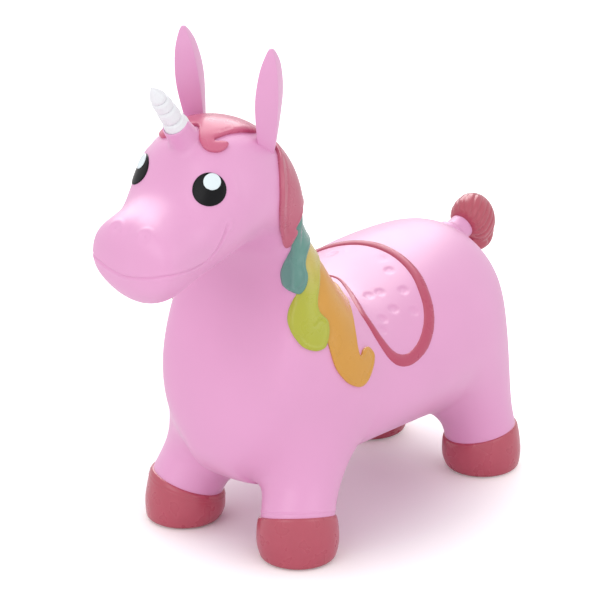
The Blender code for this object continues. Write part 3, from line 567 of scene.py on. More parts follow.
# %% Finer faces where a detail needs them
SMILE = [
    (0.0597, -0.2284, 0.3614), (0.0587, -0.2305, 0.3545), (0.0566, -0.2337, 0.3458),
    (0.0534, -0.2388, 0.3364), (0.0503, -0.2479, 0.3290), (0.0513, -0.2645, 0.3274),
    (0.0520, -0.2833, 0.3286), (0.0463, -0.2971, 0.3280), (0.0330, -0.3023, 0.3245),
    (0.0160, -0.3040, 0.3205), (0.0000, -0.3045, 0.3185),
]
NOSTRIL = (0.0170, -0.2880, 0.3520)
BROW = [(0.0530, -0.2140, 0.4050), (0.0575, -0.2150, 0.3970), (0.0610, -0.2160, 0.3880)]
DIMPLES = [
    (38.9, 45.7), (7.7, 67.3), (28.5, 79.2), (1.9, 94.4), (-18.7, 99.5), (49.6, -25.0), (-4.7, 63.9),
    (18.9, 105.0), (-30.0, 109.8),
]
DIMPLE = {"Radius": 0.0076, "Floor radius": 0.0018, "Depth": 0.0010}
SMILE_REACH, BROW_REACH, NOSTRIL_REACH, DIMPLE_REACH = 0.009, 0.014, 0.014, 0.010
HORN_FOOT = Vector((0, -0.233, 0.448))
HORN_AXIS = Vector((0, -math.sin(math.radians(37)), math.cos(math.radians(37))))
COLLAR_REACH, COLLAR_MARGIN, GATHER_HEIGHT = 0.021, 0.003, 0.05
VALVE_PLACE, VALVE_REACH, BELLY_TOP = Vector((0, 0.012, 0)), 0.014, 0.10
RIDGE_LOW, RIDGE_HIGH = 0.001, 0.010
BARREL_AXIS, BARREL_RADIUS, RAY_START = 0.16, 0.1, 0.03


def barrel_patch(along, around):
    """A ray from inside the trunk: this far along it, and this far round it from the crest to the left."""
    turn = around / BARREL_RADIUS
    return Vector((0, along, BARREL_AXIS)), Vector((math.sin(turn), 0, math.cos(turn)))


def on_skin(start, ray):
    """Where a ray meets the skin in the toy's own coordinates, and the outward normal there."""
    place, normal, *_ = SKIN.ray_cast(start, ray)
    return place, normal if normal.dot(ray) > 0 else -normal


def skin_line(points):
    """A smooth line through these points, laid on the nearest places of the skin."""
    return [SKIN.find_nearest(Vector(point))[0] for point in smooth_line(points, 0.003)]


def line_distance(points, line):
    """The distance from each point to a line of points, and how far along the line the nearest spot lies."""
    points, line = np.asarray(points), np.asarray(line)
    least = np.full(len(points), 1.0)
    along = np.zeros(len(points))
    travelled = 0.0
    for start, stop in zip(line, line[1:]):
        step = stop - start
        length = np.linalg.norm(step)
        share = np.clip((points - start) @ step / length ** 2, 0, 1)
        distance = np.linalg.norm(points - start - share[:, None] * step, axis=1)
        closer = distance < least
        least[closer] = distance[closer]
        along[closer] = travelled + share[closer] * length
        travelled += length
    return least, along


def fold(points):
    """The points with those of the right side mirrored to the left."""
    return np.abs(points * (1, 0, 0)) + points * (0, 1, 1)


def round_axis(points, foot, axis):
    """How high points lie along an axis from its foot, and which way they lie out from it."""
    from_foot = points - np.array(foot)
    height = from_foot @ np.array(axis)
    return height, from_foot - height[:, None] * np.array(axis)


def over_hoof(points):
    """How far points lie over the left front hoof, along its leg."""
    return (points - np.array(hoof_centre(1, -1, HOOF_HEIGHT))) @ np.array(leg_frame(1, -1)[1])


def refine(piece, near, cuts=2):
    """Cuts the faces whose corners are near a detail into smaller ones and relaxes them."""
    chosen = near(points_of(piece))
    bm = bmesh.new()
    bm.from_mesh(piece.data)
    bm.verts.ensure_lookup_table()
    faces = [face for face in bm.faces if any(chosen[vert.index] for vert in face.verts)]
    edges = list({edge for face in faces for edge in face.edges})
    result = bmesh.ops.subdivide_edges(bm, edges=edges, cuts=cuts, use_grid_fill=True)
    relaxed = {item for item in result["geom_inner"] if isinstance(item, bmesh.types.BMVert)}
    relaxed |= {vert for face in faces if face.is_valid for vert in face.verts}
    for _ in range(3):
        bmesh.ops.smooth_vert(
            bm, verts=list(relaxed), factor=0.5, use_axis_x=True, use_axis_y=True, use_axis_z=True,
        )
    bm.to_mesh(piece.data)
    bm.free()
    print("refined", len(faces), "faces of", piece.name, "now", len(piece.data.polygons))


smile_line, brow_line = skin_line(SMILE), skin_line(BROW)
dimple_places = [on_skin(*barrel_patch(x / 1000, y / 1000))[0] for x, y in DIMPLES]


def near_face_details(points):
    """Which points lie close to the smile, a nostril or the brow, on either side."""
    folded = fold(points)
    near = line_distance(folded, smile_line)[0] < SMILE_REACH
    near |= line_distance(folded, brow_line)[0] < BROW_REACH
    return near | (np.linalg.norm(folded - NOSTRIL, axis=1) < NOSTRIL_REACH)


def near_collar(points):
    """Which points lie round the horn's axis, on top of the head."""
    height, outward = round_axis(points, HORN_FOOT, HORN_AXIS)
    return (np.linalg.norm(outward, axis=1) < COLLAR_REACH + COLLAR_MARGIN) & (height > -GATHER_HEIGHT)


def near_dimple(points):
    """Which points lie in or just round a dimple of the saddle."""
    gaps = [np.linalg.norm(fold(points) - np.array(place), axis=1) for place in dimple_places]
    return np.min(gaps, axis=0) < DIMPLE_REACH


def near_leg_ridge(points):
    """Which points lie round the left front leg, just over its hoof."""
    above = over_hoof(points)
    return (above > RIDGE_LOW) & (above < RIDGE_HIGH) & (points[:, 0] > 0) & (points[:, 1] < 0)


def near_valve(points):
    """Which points lie round the air valve in the belly."""
    far = np.hypot(points[:, 0], points[:, 1] - VALVE_PLACE.y)
    return (far < VALVE_REACH) & (points[:, 2] < BELLY_TOP)


for near in (near_collar, near_valve, near_face_details, near_dimple, near_leg_ridge):
    refine(skin, near)

# %% [markdown]
# The smile is a groove with a soft lip on each side, and a fold of the cheek arches round its end. The
# nostrils are shallow pits under a raised arch, on a slight swelling of the nose. Each brow is a crease over
# the eye. All of these are sums of bell curves of a distance, which blend into the skin with no edge.

# %% Sculpt the smile, the nostrils and the brows
SMILE_DEPTH, SMILE_WIDTH, SMILE_FADE, SMILE_START = 0.0012, 0.0009, 0.006, 0.35
LIP_HEIGHT, LIP_OFFSET, LIP_WIDTH = 0.0004, 0.0028, 0.0014
CHEEK_HEIGHT, CHEEK_RADIUS, CHEEK_WIDTH = 0.0007, 0.0055, 0.0018
NOSE_HEIGHT, NOSE_WIDTH = 0.0028, 0.022
PIT_DEPTH, PIT_RADIUS = 0.0010, 0.0075
ARCH_HEIGHT, ARCH_RADIUS, ARCH_WIDTH = 0.0006, 0.0084, 0.0022
BROW_HEIGHT, BROW_WIDTH = 0.0009, 0.0045
SEAM_HEIGHT, SEAM_LIFT, SEAM_WIDTH = 0.0005, 0.0052, 0.0009
FADE_LENGTH, PIT_POWER = 0.004, 1.5


def bell(distance, width):
    """1 on the line, falling off smoothly over this width."""
    return np.exp(-(distance / width) ** 2)


def sculpt_face(piece):
    """Pushes the face's details in and out along the normals, and a seam over the left front hoof."""
    points = points_of(piece)
    folded = fold(points)
    push = np.zeros(len(points))
    across, along = line_distance(folded, smile_line)
    deepening = SMILE_START + (1 - SMILE_START) * np.clip(along / SMILE_FADE, 0, 1)
    push -= SMILE_DEPTH * bell(across, SMILE_WIDTH) * deepening
    for side in (1, -1):
        push += LIP_HEIGHT * bell(across - side * LIP_OFFSET, LIP_WIDTH)
    from_end = folded - np.array(smile_line[0])
    behind = np.clip(from_end[:, 1] / FADE_LENGTH + 0.4, 0, 1)
    push += CHEEK_HEIGHT * bell(np.linalg.norm(from_end, axis=1) - CHEEK_RADIUS, CHEEK_WIDTH) * behind
    from_pit = folded - np.array(SKIN.find_nearest(Vector(NOSTRIL))[0])
    far = np.linalg.norm(from_pit, axis=1)
    push += NOSE_HEIGHT * bell(far, NOSE_WIDTH)
    push -= PIT_DEPTH * np.clip(1 - far / PIT_RADIUS, 0, 1) ** PIT_POWER
    over = np.clip(from_pit[:, 2] / FADE_LENGTH + 0.3, 0, 1)
    push += ARCH_HEIGHT * bell(far - ARCH_RADIUS, ARCH_WIDTH) * over
    push += BROW_HEIGHT * bell(line_distance(folded, brow_line)[0], BROW_WIDTH)
    push += SEAM_HEIGHT * bell(over_hoof(points) - SEAM_LIFT, SEAM_WIDTH) * near_leg_ridge(points)
    move_points(piece, points + normals_of(piece) * push[:, None])
    print("deepest push", round(push.min() * 1000, 2), "mm, highest", round(push.max() * 1000, 2), "mm")


sculpt_face(skin)

# %% [markdown]
# ## The collar of the horn
#
# On the real toy the collar is part of the moulding, with a soft fillet at its foot. A separate ring would
# leave a line there. So the skin round the horn's axis is gathered instead: each point slides towards the
# axis and up along it, by a table of old radius to new radius and height. The faces that lay in a disc then
# make the fillet, the wall, the lip and the bottom of the socket, all in one surface.

# %% Gather the skin into the collar
COLLAR_TABLE = [
    (1.00, 21.00, 0.00), (0.90, 17.60, 0.02), (0.80, 15.20, 0.12), (0.70, 13.90, 0.35), (0.60, 13.20, 0.62),
    (0.50, 12.90, 0.88), (0.44, 12.70, 0.97), (0.38, 12.20, 1.00), (0.32, 11.50, 0.99), (0.26, 11.25, 0.90),
    (0.15, 10.00, 0.85), (0.00, 0.00, 0.85),
]


def gather(piece, foot, axis, reach, table):
    """Slides a disc of the skin in towards an axis and along it.

    table holds (share of the reach, new radius in mm, share of the way from the skin to the foot's plane).
    """
    shares, new_radii, rises = np.array(table)[::-1].T
    points = points_of(piece)
    foot, axis = np.array(foot), np.array(axis)
    height, outward = round_axis(points, foot, axis)
    radius = np.linalg.norm(outward, axis=1)
    chosen = np.flatnonzero((radius < reach) & (np.abs(height) < GATHER_HEIGHT))
    for number in chosen:
        share = radius[number] / reach
        direction = outward[number] / max(radius[number], 1e-9)
        place = foot + direction * np.interp(share, shares, new_radii) / 1000
        ground = SKIN.ray_cast(Vector(place + axis * RAY_START), Vector(-axis))[0]
        low = (np.array(ground) - foot) @ axis
        points[number] = place + axis * low * (1 - np.interp(share, shares, rises))
    move_points(piece, points)
    print("gathered", len(chosen), "points of", piece.name)


gather(skin, HORN_FOOT, HORN_AXIS, COLLAR_REACH, COLLAR_TABLE)

# %% Sink the well of the air valve into the belly
BELLY = on_skin(VALVE_PLACE, Vector((0, 0, 1)))[0].z
WELL_REACH, WELL_DEPTH = 0.012, 0.013
WELL_TABLE = [
    (1.00, 12.0, 0.00), (0.75, 7.4, 0.00), (0.62, 6.5, 0.02), (0.54, 6.4, 0.12), (0.40, 6.4, 0.60),
    (0.28, 6.4, 0.95), (0.20, 5.6, 1.00), (0.00, 0.0, 1.00),
]
gather(skin, VALVE_PLACE + Vector((0, 0, BELLY + WELL_DEPTH)), (0, 0, -1), WELL_REACH, WELL_TABLE)

# %% [markdown]
# ## The dimples of the seat
#
# Rows of shallow dimples keep a child from sliding. They repeat over a surface, so Geometry Nodes make them:
# a mesh of loose points marks their centres, and each point of the skin is pushed in by how near the
# nearest centre is. One tree with a named radius and depth then makes all of them.

# %% A Geometry Nodes tree and how to run it
def bake_tree(tree, geometry, given, result):
    """Realizes the instances, sets the material and joins the output."""
    real = add_node(tree, "GeometryNodeRealizeInstances", {0: geometry})[0]
    paint = {"Geometry": real, "Material": given["Material"]}
    feed(tree, result, {0: add_node(tree, "GeometryNodeSetMaterial", paint)[0]})


def run_tree(piece, tree, values):
    """Runs a tree on a piece with these values for its named inputs, and keeps the plain mesh."""
    modifier = piece.modifiers.new(tree.name, "NODES")
    modifier.node_group = tree
    for item in tree.interface.items_tree:
        if item.item_type == "SOCKET" and item.in_out == "INPUT" and item.name in values:
            modifier[item.identifier] = values[item.name]
    return apply_modifiers(piece)


# %% Press the dimples
def dimple_tree():
    """Presses the surface in round each point of another object."""
    tree, given, result = new_tree("GeometryNodeTree", "dimples", [
        ("Geometry", "Geometry"), ("Centres", "Object"), ("Radius", "Float"), ("Floor radius", "Float"),
        ("Depth", "Float"), ("Material", "Material"),
    ], [("Geometry", "Geometry")])
    centres = add_node(tree, "GeometryNodeObjectInfo", {"Object": given["Centres"]})["Geometry"]
    nearest = add_node(tree, "GeometryNodeProximity", {0: centres}, target_element="POINTS")["Distance"]
    depth = remap(tree, nearest, given["Depth"], 0.0, given["Floor radius"], given["Radius"], "SMOOTHERSTEP")
    push = scaled(tree, add_node(tree, "GeometryNodeInputNormal")[0], maths(tree, "MULTIPLY", depth, -1.0))
    moved = add_node(tree, "GeometryNodeSetPosition", {"Geometry": given["Geometry"], "Offset": push})[0]
    bake_tree(tree, moved, given, result)
    return tree


centres = mesh_object("dimple_centres", [(s * p.x, p.y, p.z) for p in dimple_places for s in (1, -1)])
before = points_of(skin)
run_tree(skin, dimple_tree(), {"Centres": centres, "Material": pink_vinyl, **DIMPLE})
deepest = np.abs(points_of(skin) - before).max() * 1000
print("pressed", len(DIMPLES) * 2, "dimples,", round(deepest, 2), "mm deep")
bpy.data.objects.remove(centres)

# %% [markdown]
# ## The saddle line
#
# A raised bead runs round the seat, thin in front and broad behind. Its line is listed as how far along the
# trunk, how far round it from the crest, and how wide half the bead is, all in millimetres. A bead follows
# a path, so it is a circle swept along a curve, again with Geometry Nodes. The radius of a point of the path
# is chosen so that the circle stands as high and as wide over the skin as the bead should, with its middle
# under the skin.

# %% Sweep the bead
SADDLE_LINE = [
    (-2, 0, 1.4), (-5, 17, 1.7), (-14, 40, 2.4), (-21.5, 55.5, 3.3), (-30.5, 72, 4.2), (-38.9, 88.8, 4.9),
    (-43, 111, 5.4), (-41, 127, 5.8), (-36, 136.3, 6.0), (-28.5, 141.2, 5.9), (-18, 143, 5.7),
    (-5.6, 140.6, 5.8), (7, 135.3, 6.1), (18, 127.6, 6.1), (27, 119.2, 5.9), (36.6, 106.8, 5.6),
    (45.3, 90.6, 5.5), (53.2, 73, 5.3), (59, 52.5, 5.0), (63, 28, 4.8), (64.7, 0, 5.0),
]
BEAD_LIFT, BEAD_SHARE, BEAD_STEPS = 0.0005, 0.34, 20


def bead_tree():
    """Sweeps a circle along a mesh of edges, with the radius that each point carries."""
    tree, given, result = new_tree("GeometryNodeTree", "bead", [
        ("Geometry", "Geometry"), ("Steps", "Int"), ("Material", "Material"),
    ], [("Geometry", "Geometry")])
    swept = add_node(tree, "GeometryNodeCurveToMesh", {
        "Curve": add_node(tree, "GeometryNodeMeshToCurve", {0: given["Geometry"]})[0],
        "Profile Curve": add_node(
            tree, "GeometryNodeCurvePrimitiveCircle", {"Resolution": given["Steps"], "Radius": 1.0},
        )[0],
        "Scale": add_node(tree, "GeometryNodeInputNamedAttribute", {"Name": "bead_radius"})["Attribute"],
    })[0]
    bake_tree(tree, swept, given, result)
    return tree


along, around, half_width = smooth_line(np.array(SADDLE_LINE) / 1000, 0.003, 2).T
height = BEAD_LIFT + BEAD_SHARE * half_width
radii = (half_width ** 2 + height ** 2) / (2 * height)
middles = []
for ahead, aside, radius, rise in zip(along, around, radii, height):
    place, normal = on_skin(*barrel_patch(ahead, aside))
    middles.append(place - normal * (radius - rise))
middles = np.array(middles)
path = np.vstack([middles, middles[-2:0:-1] * (-1, 1, 1)])
bead = mesh_object("saddle_bead", path, [(n, (n + 1) % len(path)) for n in range(len(path))])
carried = bead.data.attributes.new("bead_radius", "FLOAT", "POINT")
carried.data.foreach_set("value", np.concatenate([radii, radii[-2:0:-1]]))
run_tree(bead, bead_tree(), {"Steps": BEAD_STEPS, "Material": line_paint})
print("bead", len(bead.data.polygons), "faces, spans", np.ptp(points_of(bead), axis=0).round(3))

# %% [markdown]
# ## The mane
#
# The mane is relief that lies on the neck and falls in pairs of locks, one on each side of the crest. Each
# lock is drawn flat, like a paper pattern: how far up the neck, and how far round it. The pattern is filled
# with triangles, laid on the skin by rays, and lifted. Its height depends on how far a point is from the
# pattern's edge, which gives the bevelled shoulder that catches the light all round a lock. Hair lines are
# carved in by their own distance, as the smile was. On the toy each lock lies over the next one down, so a
# lower pattern runs on under the one above it and stands a little less high.

# %% Turn a pattern into relief
EDGE_SHARE, ROLL_INSET, ROLL_WIDTH = 0.66, 0.0004, 0.0009
THIN_SHARE, THIN_REACH, THINNEST = 0.34, 0.012, 0.0015
DOME_POWER, ROW_SHARE, CREST_GAP = 0.8, 0.93, 0.0004


def half_pattern(pairs, spacing=0.0016):
    """A closed outline of a left half, from pairs in millimetres, with its straight side on the crest."""
    line = smooth_line(np.array(pairs) / 1000, spacing)
    steps = max(1, round(np.linalg.norm(line[0] - line[-1]) / spacing))
    crest = [line[-1] + (line[0] - line[-1]) * step / steps for step in range(1, steps)]
    return np.vstack([line, *crest]) if crest else line


def disc_pattern(radius, steps, centre=(0, 0)):
    """A round outline."""
    return np.array(centre) + radius * np.hstack(circle(steps))


def inside(points, outline):
    """Which points lie in an outline."""
    odd = np.zeros(len(points), bool)
    across, up = points.T
    for first, second in zip(outline, np.roll(outline, -1, axis=0)):
        if first[1] != second[1]:
            crossing = first[0] + (up - first[1]) / (second[1] - first[1]) * (second[0] - first[0])
            odd ^= ((first[1] > up) != (second[1] > up)) & (across < crossing)
    return odd


def edge_distance(points, outline):
    """How far points lie from an outline, its edges on the crest left out."""
    least = np.full(len(points), 1.0)
    for first, second in zip(outline, np.roll(outline, -1, axis=0)):
        if abs(first[1]) > TINY or abs(second[1]) > TINY:
            least = np.minimum(least, line_distance(points, np.array([first, second]))[0])
    return least


def fill(outline, spacing, rows):
    """Points inside an outline: rows at these distances from its edge, then an even field."""
    low, high = outline.min(axis=0), outline.max(axis=0)
    step = spacing * math.sqrt(3) / 2
    columns, lines = ((high - low) / (spacing, step)).astype(int) + 1
    grid = np.array([
        (low[0] + (column + 0.5 * (line % 2)) * spacing, low[1] + line * step)
        for line in range(lines) for column in range(columns)
    ])
    grid = grid[inside(grid, outline)]
    field = [grid[edge_distance(grid, outline) > rows[-1] + 0.5 * spacing]]
    ahead = np.roll(outline, -1, axis=0) - np.roll(outline, 1, axis=0)
    across = np.column_stack([-ahead[:, 1], ahead[:, 0]]) / np.linalg.norm(ahead, axis=1)[:, None]
    free = np.abs(outline[:, 1]) > TINY
    for distance in rows:
        for side in (1, -1):
            row = (outline + side * distance * across)[free]
            row = row[inside(row, outline)]
            field.append(row[edge_distance(row, outline) > ROW_SHARE * distance])
    field = np.vstack(field)
    return field[np.abs(field[:, 1]) > CREST_GAP]


def relief(name, patch, outline, height, shoulder, carvings=(), mirrored=True, low=-0.0015, spacing=0.0022,
           rows=(0.0005, 0.0012, 0.0021, 0.0032), crown=0.0, lip=0.0, under=None):
    """A raised piece on the skin. Each carving is (line in millimetres, depth, width), and crown domes it.

    Below the outline called under, another lock lies over this one, so there it thins to a third.
    """
    points = np.vstack([outline, fill(outline, spacing, rows)])
    walls = [(n, (n + 1) % len(outline)) for n in range(len(outline))]
    flat, _, faces, *_ = delaunay_2d_cdt([Vector(point) for point in points], walls, [], 1, 1e-7)
    flat = np.array(flat)
    places = np.array([SKIN.ray_cast(*patch(*point))[0] for point in flat])
    corners = places[np.array(faces)]
    face_normals = np.cross(corners[:, 1] - corners[:, 0], corners[:, 2] - corners[:, 0])
    normals = np.zeros_like(places)
    for corner in range(3):
        np.add.at(normals, np.array(faces)[:, corner], face_normals)
    crest = np.abs(flat[:, 1]) < TINY
    if mirrored:
        normals[crest, 0] = places[crest, 0] = 0
    normals /= np.linalg.norm(normals, axis=1)[:, None]
    if normals[0] @ np.array(patch(*flat[0])[1]) < 0:
        normals = -normals
    edge = edge_distance(flat, outline)
    share = np.clip(edge / shoulder, 0, 1)
    rise = height * (EDGE_SHARE + (1 - EDGE_SHARE) * np.sqrt(1 - (1 - share) ** 2))
    rise += lip * bell(edge - shoulder - ROLL_INSET, ROLL_WIDTH)
    rise += crown * np.clip(edge / edge.max(), 0, 1) ** DOME_POWER
    for line, depth, width in carvings:
        carved = smooth_line(np.array(line) / 1000, 0.002)
        rise -= depth * bell(line_distance(flat, carved)[0], width)
    if under is not None:
        reached = on_neck(places)
        clear = np.where(inside(reached, under), 0, edge_distance(reached, under))
        clear = np.clip(clear / THIN_REACH, 0, 1)
        thinned = rise * (THIN_SHARE + (1 - THIN_SHARE) * np.sin(math.pi / 2 * clear))
        rise = np.maximum(thinned, np.minimum(rise, THINNEST))
    count = len(flat)
    verts = np.vstack([places + normals * rise[:, None], places + normals * low])
    shell = [tuple(face) for face in faces] + [tuple(count + n for n in reversed(face)) for face in faces]
    edges = dict.fromkeys(pair for face in faces for pair in zip(face, [*face[1:], face[0]]))
    for first, second in edges:
        if (second, first) not in edges and not (mirrored and crest[first] and crest[second]):
            shell.append((first, count + first, count + second, second))
    if mirrored:
        shell += [tuple(2 * count + n for n in reversed(face)) for face in shell]
        verts = np.vstack([verts, verts * (-1, 1, 1)])
    return new_piece(name, verts, shell)


# %% Where the patterns lie
NECK_FOOT, NECK_AXIS = Vector((0, -0.125, 0.20)), Vector((0, -0.124, 0.992)).normalized()
NECK_BACK = Vector((0, 0.992, 0.124)).normalized()
NECK_RADIUS, HEAD_MIDDLE = 0.07, 0.37


def neck_patch(along, around):
    """A ray from the neck's axis: this far up it, and this far round it from the crest to the left."""
    turn = around / NECK_RADIUS
    return NECK_FOOT + NECK_AXIS * along, NECK_BACK * math.cos(turn) + Vector((math.sin(turn), 0, 0))


def on_neck(places):
    """The other way about: how far up the neck and round it each place lies."""
    out = places - np.array(NECK_FOOT)
    turn = np.arctan2(out[:, 0], out @ np.array(NECK_BACK))
    return np.stack([out @ np.array(NECK_AXIS), turn * NECK_RADIUS], 1)


def plan_patch(along, out):
    """A ray straight up through the top of the head."""
    return Vector((out, along, HEAD_MIDDLE)), Vector((0, 0, 1))


EYE_CENTRE, EYE_FACING = Vector((0.0445, -0.2365, 0.396)), Vector((0.52, -0.70, 0.49)).normalized()


def eye_patch(across, up):
    """A ray out of the head through the left eye, as one looks straight at it."""
    right = Vector((0, 0, 1)).cross(EYE_FACING).normalized()
    return EYE_CENTRE - EYE_FACING * RAY_START + right * across + EYE_FACING.cross(right) * up, EYE_FACING


# %% The crown and the four pairs of locks
CROWN = [
    (-202, 0), (-204.8, 5.2), (-212.3, 11.3), (-216.7, 16.3), (-219, 21.3), (-219.4, 25.2), (-218.5, 29.2),
    (-216.6, 32.2), (-213.6, 35.4), (-210.2, 37.1), (-205.7, 37.9), (-201.5, 37.4), (-200.2, 35.2),
    (-203.6, 31.4), (-207.2, 28.9), (-208.4, 26.6), (-206.6, 25.2), (-202.1, 26.2), (-195, 27.3),
    (-186.5, 28.3), (-177.2, 29.5), (-160.2, 30.6), (-150, 28), (-143.5, 19), (-141, 10), (-141, 0),
]
RASPBERRY_LOCK = [
    (224, 0), (223, 30), (219, 58), (215, 82), (209, 103), (202.7, 116.5), (189.8, 124.5), (174.4, 127.8),
    (160, 127.8), (140.3, 122.2), (125.5, 114.8), (117, 110.8), (113.6, 108.3), (116.1, 105.6),
    (122.5, 103.4), (128.4, 101.4), (131.5, 101.8), (135.4, 103.6), (143, 98.5), (152.6, 91), (160, 78),
    (165, 50), (168, 0),
]
TEAL_LOCK = [
    (176, 0), (173, 50), (165, 85), (152, 97), (138, 105.5), (128, 105.5), (120, 106), (113.5, 105.4),
    (102.8, 108.6), (92.2, 112.5), (81.9, 116.8), (76.3, 119.2), (73.6, 119.3), (72, 117.8), (71, 115),
    (73.9, 110.9), (79.1, 106.3), (85.3, 102.7), (92.3, 101), (98.7, 97), (103.5, 89), (105, 76), (106, 62),
    (108.5, 40), (110, 0),
]
LIME_LOCK = [
    (122, 0), (118, 54), (111, 85), (101, 99), (90, 106), (82, 110.5), (76.5, 113.5), (71.3, 117),
    (65.2, 121.4), (55.2, 127.1), (45.7, 130.6), (35.4, 130.8), (24.9, 127.2), (18.9, 119.8), (18.2, 115.5),
    (19.5, 111.5), (24.6, 108.2), (32.3, 104.6), (40.9, 102.7), (46.1, 104.6), (51.2, 106.4), (57.7, 105.8),
    (65.2, 101.9), (72.9, 95.3), (78, 90), (82.5, 83), (86.5, 62), (88, 34), (88, 0),
]
ORANGE_LOCK = [
    (-86, 0), (-90, 18), (-95, 28), (-103, 40), (-112, 50), (-121, 60), (-128, 70), (-129, 80), (-127.5, 90),
    (-126, 97), (-125, 106.5), (-122.8, 119.5), (-118.1, 129.7), (-109.7, 139.7), (-98, 146), (-88, 145.6),
    (-77.5, 138.8), (-67.4, 129), (-65.9, 123), (-71.3, 116.8), (-80.5, 117), (-85.8, 120.4), (-89, 120.6),
    (-90.1, 116), (-87.7, 106), (-80.8, 92.5), (-66.9, 77.6), (-47, 66), (-25, 38.5), (-15.5, 18), (-14, 0),
]
LOCK = {
    "shoulder": 0.0024, "lip": 0.0006, "spacing": 0.0014,
    "rows": (0.0005, 0.0012, 0.0020, 0.0028, 0.0036, 0.0046),
}
CROWN_HEIGHT, RASPBERRY_HEIGHT, TEAL_HEIGHT = 0.0042, 0.0038, 0.0036
LIME_HEIGHT, ORANGE_HEIGHT = 0.0032, 0.0029
THROAT, THROAT_SHARE = 0.108, 0.4
crown_lock = relief("crown_lock", plan_patch, half_pattern(CROWN), CROWN_HEIGHT, CROWN_HEIGHT, [
    ([(-202, 21.5), (-196, 24), (-184, 25.5)], 0.0004, 0.0012),
])
raspberry = half_pattern(RASPBERRY_LOCK)
raspberry_lock = relief("raspberry_lock", neck_patch, raspberry, RASPBERRY_HEIGHT, carvings=[
    ([(204, 101), (196, 110), (184, 117), (168, 120.5), (152, 119), (138, 114.5), (127, 108)],
     0.0007, 0.0014),
    ([(214, 40), (200, 62), (183, 82), (163, 92), (152, 95)], 0.0005, 0.0018),
], **LOCK)
teal = half_pattern(TEAL_LOCK)
teal_lock = relief("teal_lock", neck_patch, teal, TEAL_HEIGHT, carvings=[
    ([(77, 113.5), (81, 110.5), (86, 107), (91, 105.5)], 0.0008, 0.0016),
    ([(74.8, 114), (79.5, 109), (85, 105.4)], -0.0004, 0.0010),
    ([(140, 40), (132, 74), (121, 90), (108, 99)], 0.0004, 0.0016),
], under=raspberry, **LOCK)
lime = half_pattern(LIME_LOCK)
lime_lock = relief("lime_lock", neck_patch, lime, LIME_HEIGHT, carvings=[
    ([(41, 114), (43.5, 111.5), (44.5, 108)], 0.0006, 0.0012),
    ([(43.5, 114), (46.5, 111), (46, 107), (43, 105)], -0.0006, 0.0010),
], under=teal, **LOCK)
orange = half_pattern(ORANGE_LOCK, 0.0009)
orange_lock = relief("orange_lock", barrel_patch, orange, ORANGE_HEIGHT, carvings=[
    ([(-73, 121), (-71.5, 127), (-79, 134), (-89, 140)], 0.0004, 0.0010),
], under=lime, **LOCK)

# On the right the lime lock reaches less far round, so that the throat hides its end.
points = points_of(lime_lock) - np.array(MIDDLE)
folded = fold(points)
along, around = on_neck(folded).T
for n in np.flatnonzero((points[:, 0] < 0) & (around > THROAT)):
    foot, outward = on_skin(*neck_patch(along[n], around[n]))
    lift = (Vector(folded[n]) - foot).dot(outward)
    foot, outward = on_skin(*neck_patch(along[n], THROAT + THROAT_SHARE * (around[n] - THROAT)))
    points[n] = np.array(foot + outward * lift) * (-1, 1, 1)
move_points(lime_lock, points + np.array(MIDDLE))

# %% [markdown]
# The eyes are thin raised spots. They use the same relief maker with a round pattern, a sharp edge and a
# slight dome, which bends the softbox's reflection as a real eye spot does.

# %% The eyes and their lights
def mirrored_copy(piece, name):
    """The same piece on the animal's right."""
    mesh = piece.data.copy()
    mesh.transform(Matrix.Diagonal((-1, 1, 1, 1)))
    mesh.flip_normals()
    return add_object(name, mesh)


EYE_RADIUS, EYE_HEIGHT, EYE_DOME, EYE_ROWS = 0.0157, 0.0010, 0.0005, (0.0004, 0.0010)
GLINT_RADIUS, GLINT_PLACE, GLINT_HEIGHT, GLINT_SHOULDER = 0.0080, (0.0025, 0.0070), 0.0019, 0.0005
spot = disc_pattern(EYE_RADIUS, FINE)
left_eye = relief("left_eye_spot", eye_patch, spot, EYE_HEIGHT, EYE_HEIGHT, mirrored=False, rows=EYE_ROWS,
                  crown=EYE_DOME)
glint = disc_pattern(GLINT_RADIUS, COARSE, GLINT_PLACE)
left_light = relief("left_eye_light", eye_patch, glint, GLINT_HEIGHT, GLINT_SHOULDER, mirrored=False,
                    low=0.0004, rows=EYE_ROWS, spacing=0.0015)
right_eye = mirrored_copy(left_eye, "right_eye_spot")
right_light = mirrored_copy(left_light, "right_eye_light")

# %% [markdown]
# ## The horn, hooves and ears
#
# The horn is a stack of bulging rings with sharp grooves between them, so it is turned on a lathe. A hoof is
# turned too, but its rings lean with the leg, so it is lofted through rings that are placed one by one. An
# ear is a leaf with a pinched edge and a ridge down each side: its section is a pulled-in ellipse.

# %% The horn
HORN_RADIUS, HORN_TAPER, HORN_TIP = 0.0112, 0.057, 0.0565
HORN_GROOVES, GROOVE_DEPTH, GROOVE_SHARE = (0.0092, 0.0252, 0.0374), 0.0021, 0.22
HORN_SHIFT = Vector((0, 0.0018, -0.0006))
ring_start, ring_top = 0.0, HORN_RADIUS + 0.0010
profile = [(HORN_RADIUS - 0.0020, -0.0027), (ring_top, -0.0025)]
for groove in (*HORN_GROOVES, HORN_TIP):
    waist = HORN_RADIUS - 0.0012 - HORN_TAPER * groove
    for share in np.linspace(0, 1, 24):
        widest = ring_top + (waist + 0.0010 - ring_top) * share
        rounding = min(1, share / GROOVE_SHARE if ring_start else 1) ** 0.5
        if groove == HORN_TIP:
            widest = ring_top * (1 - share ** 1.5)
        else:
            rounding = min(rounding, ((1 - share) / GROOVE_SHARE) ** 0.5)
        profile.append((widest - GROOVE_DEPTH * (1 - rounding), ring_start + (groove - ring_start) * share))
    ring_start, ring_top = groove, waist + 0.0009
horn_cone = turned("horn_cone", profile, HORN_FOOT + HORN_SHIFT, HORN_AXIS, FINE)


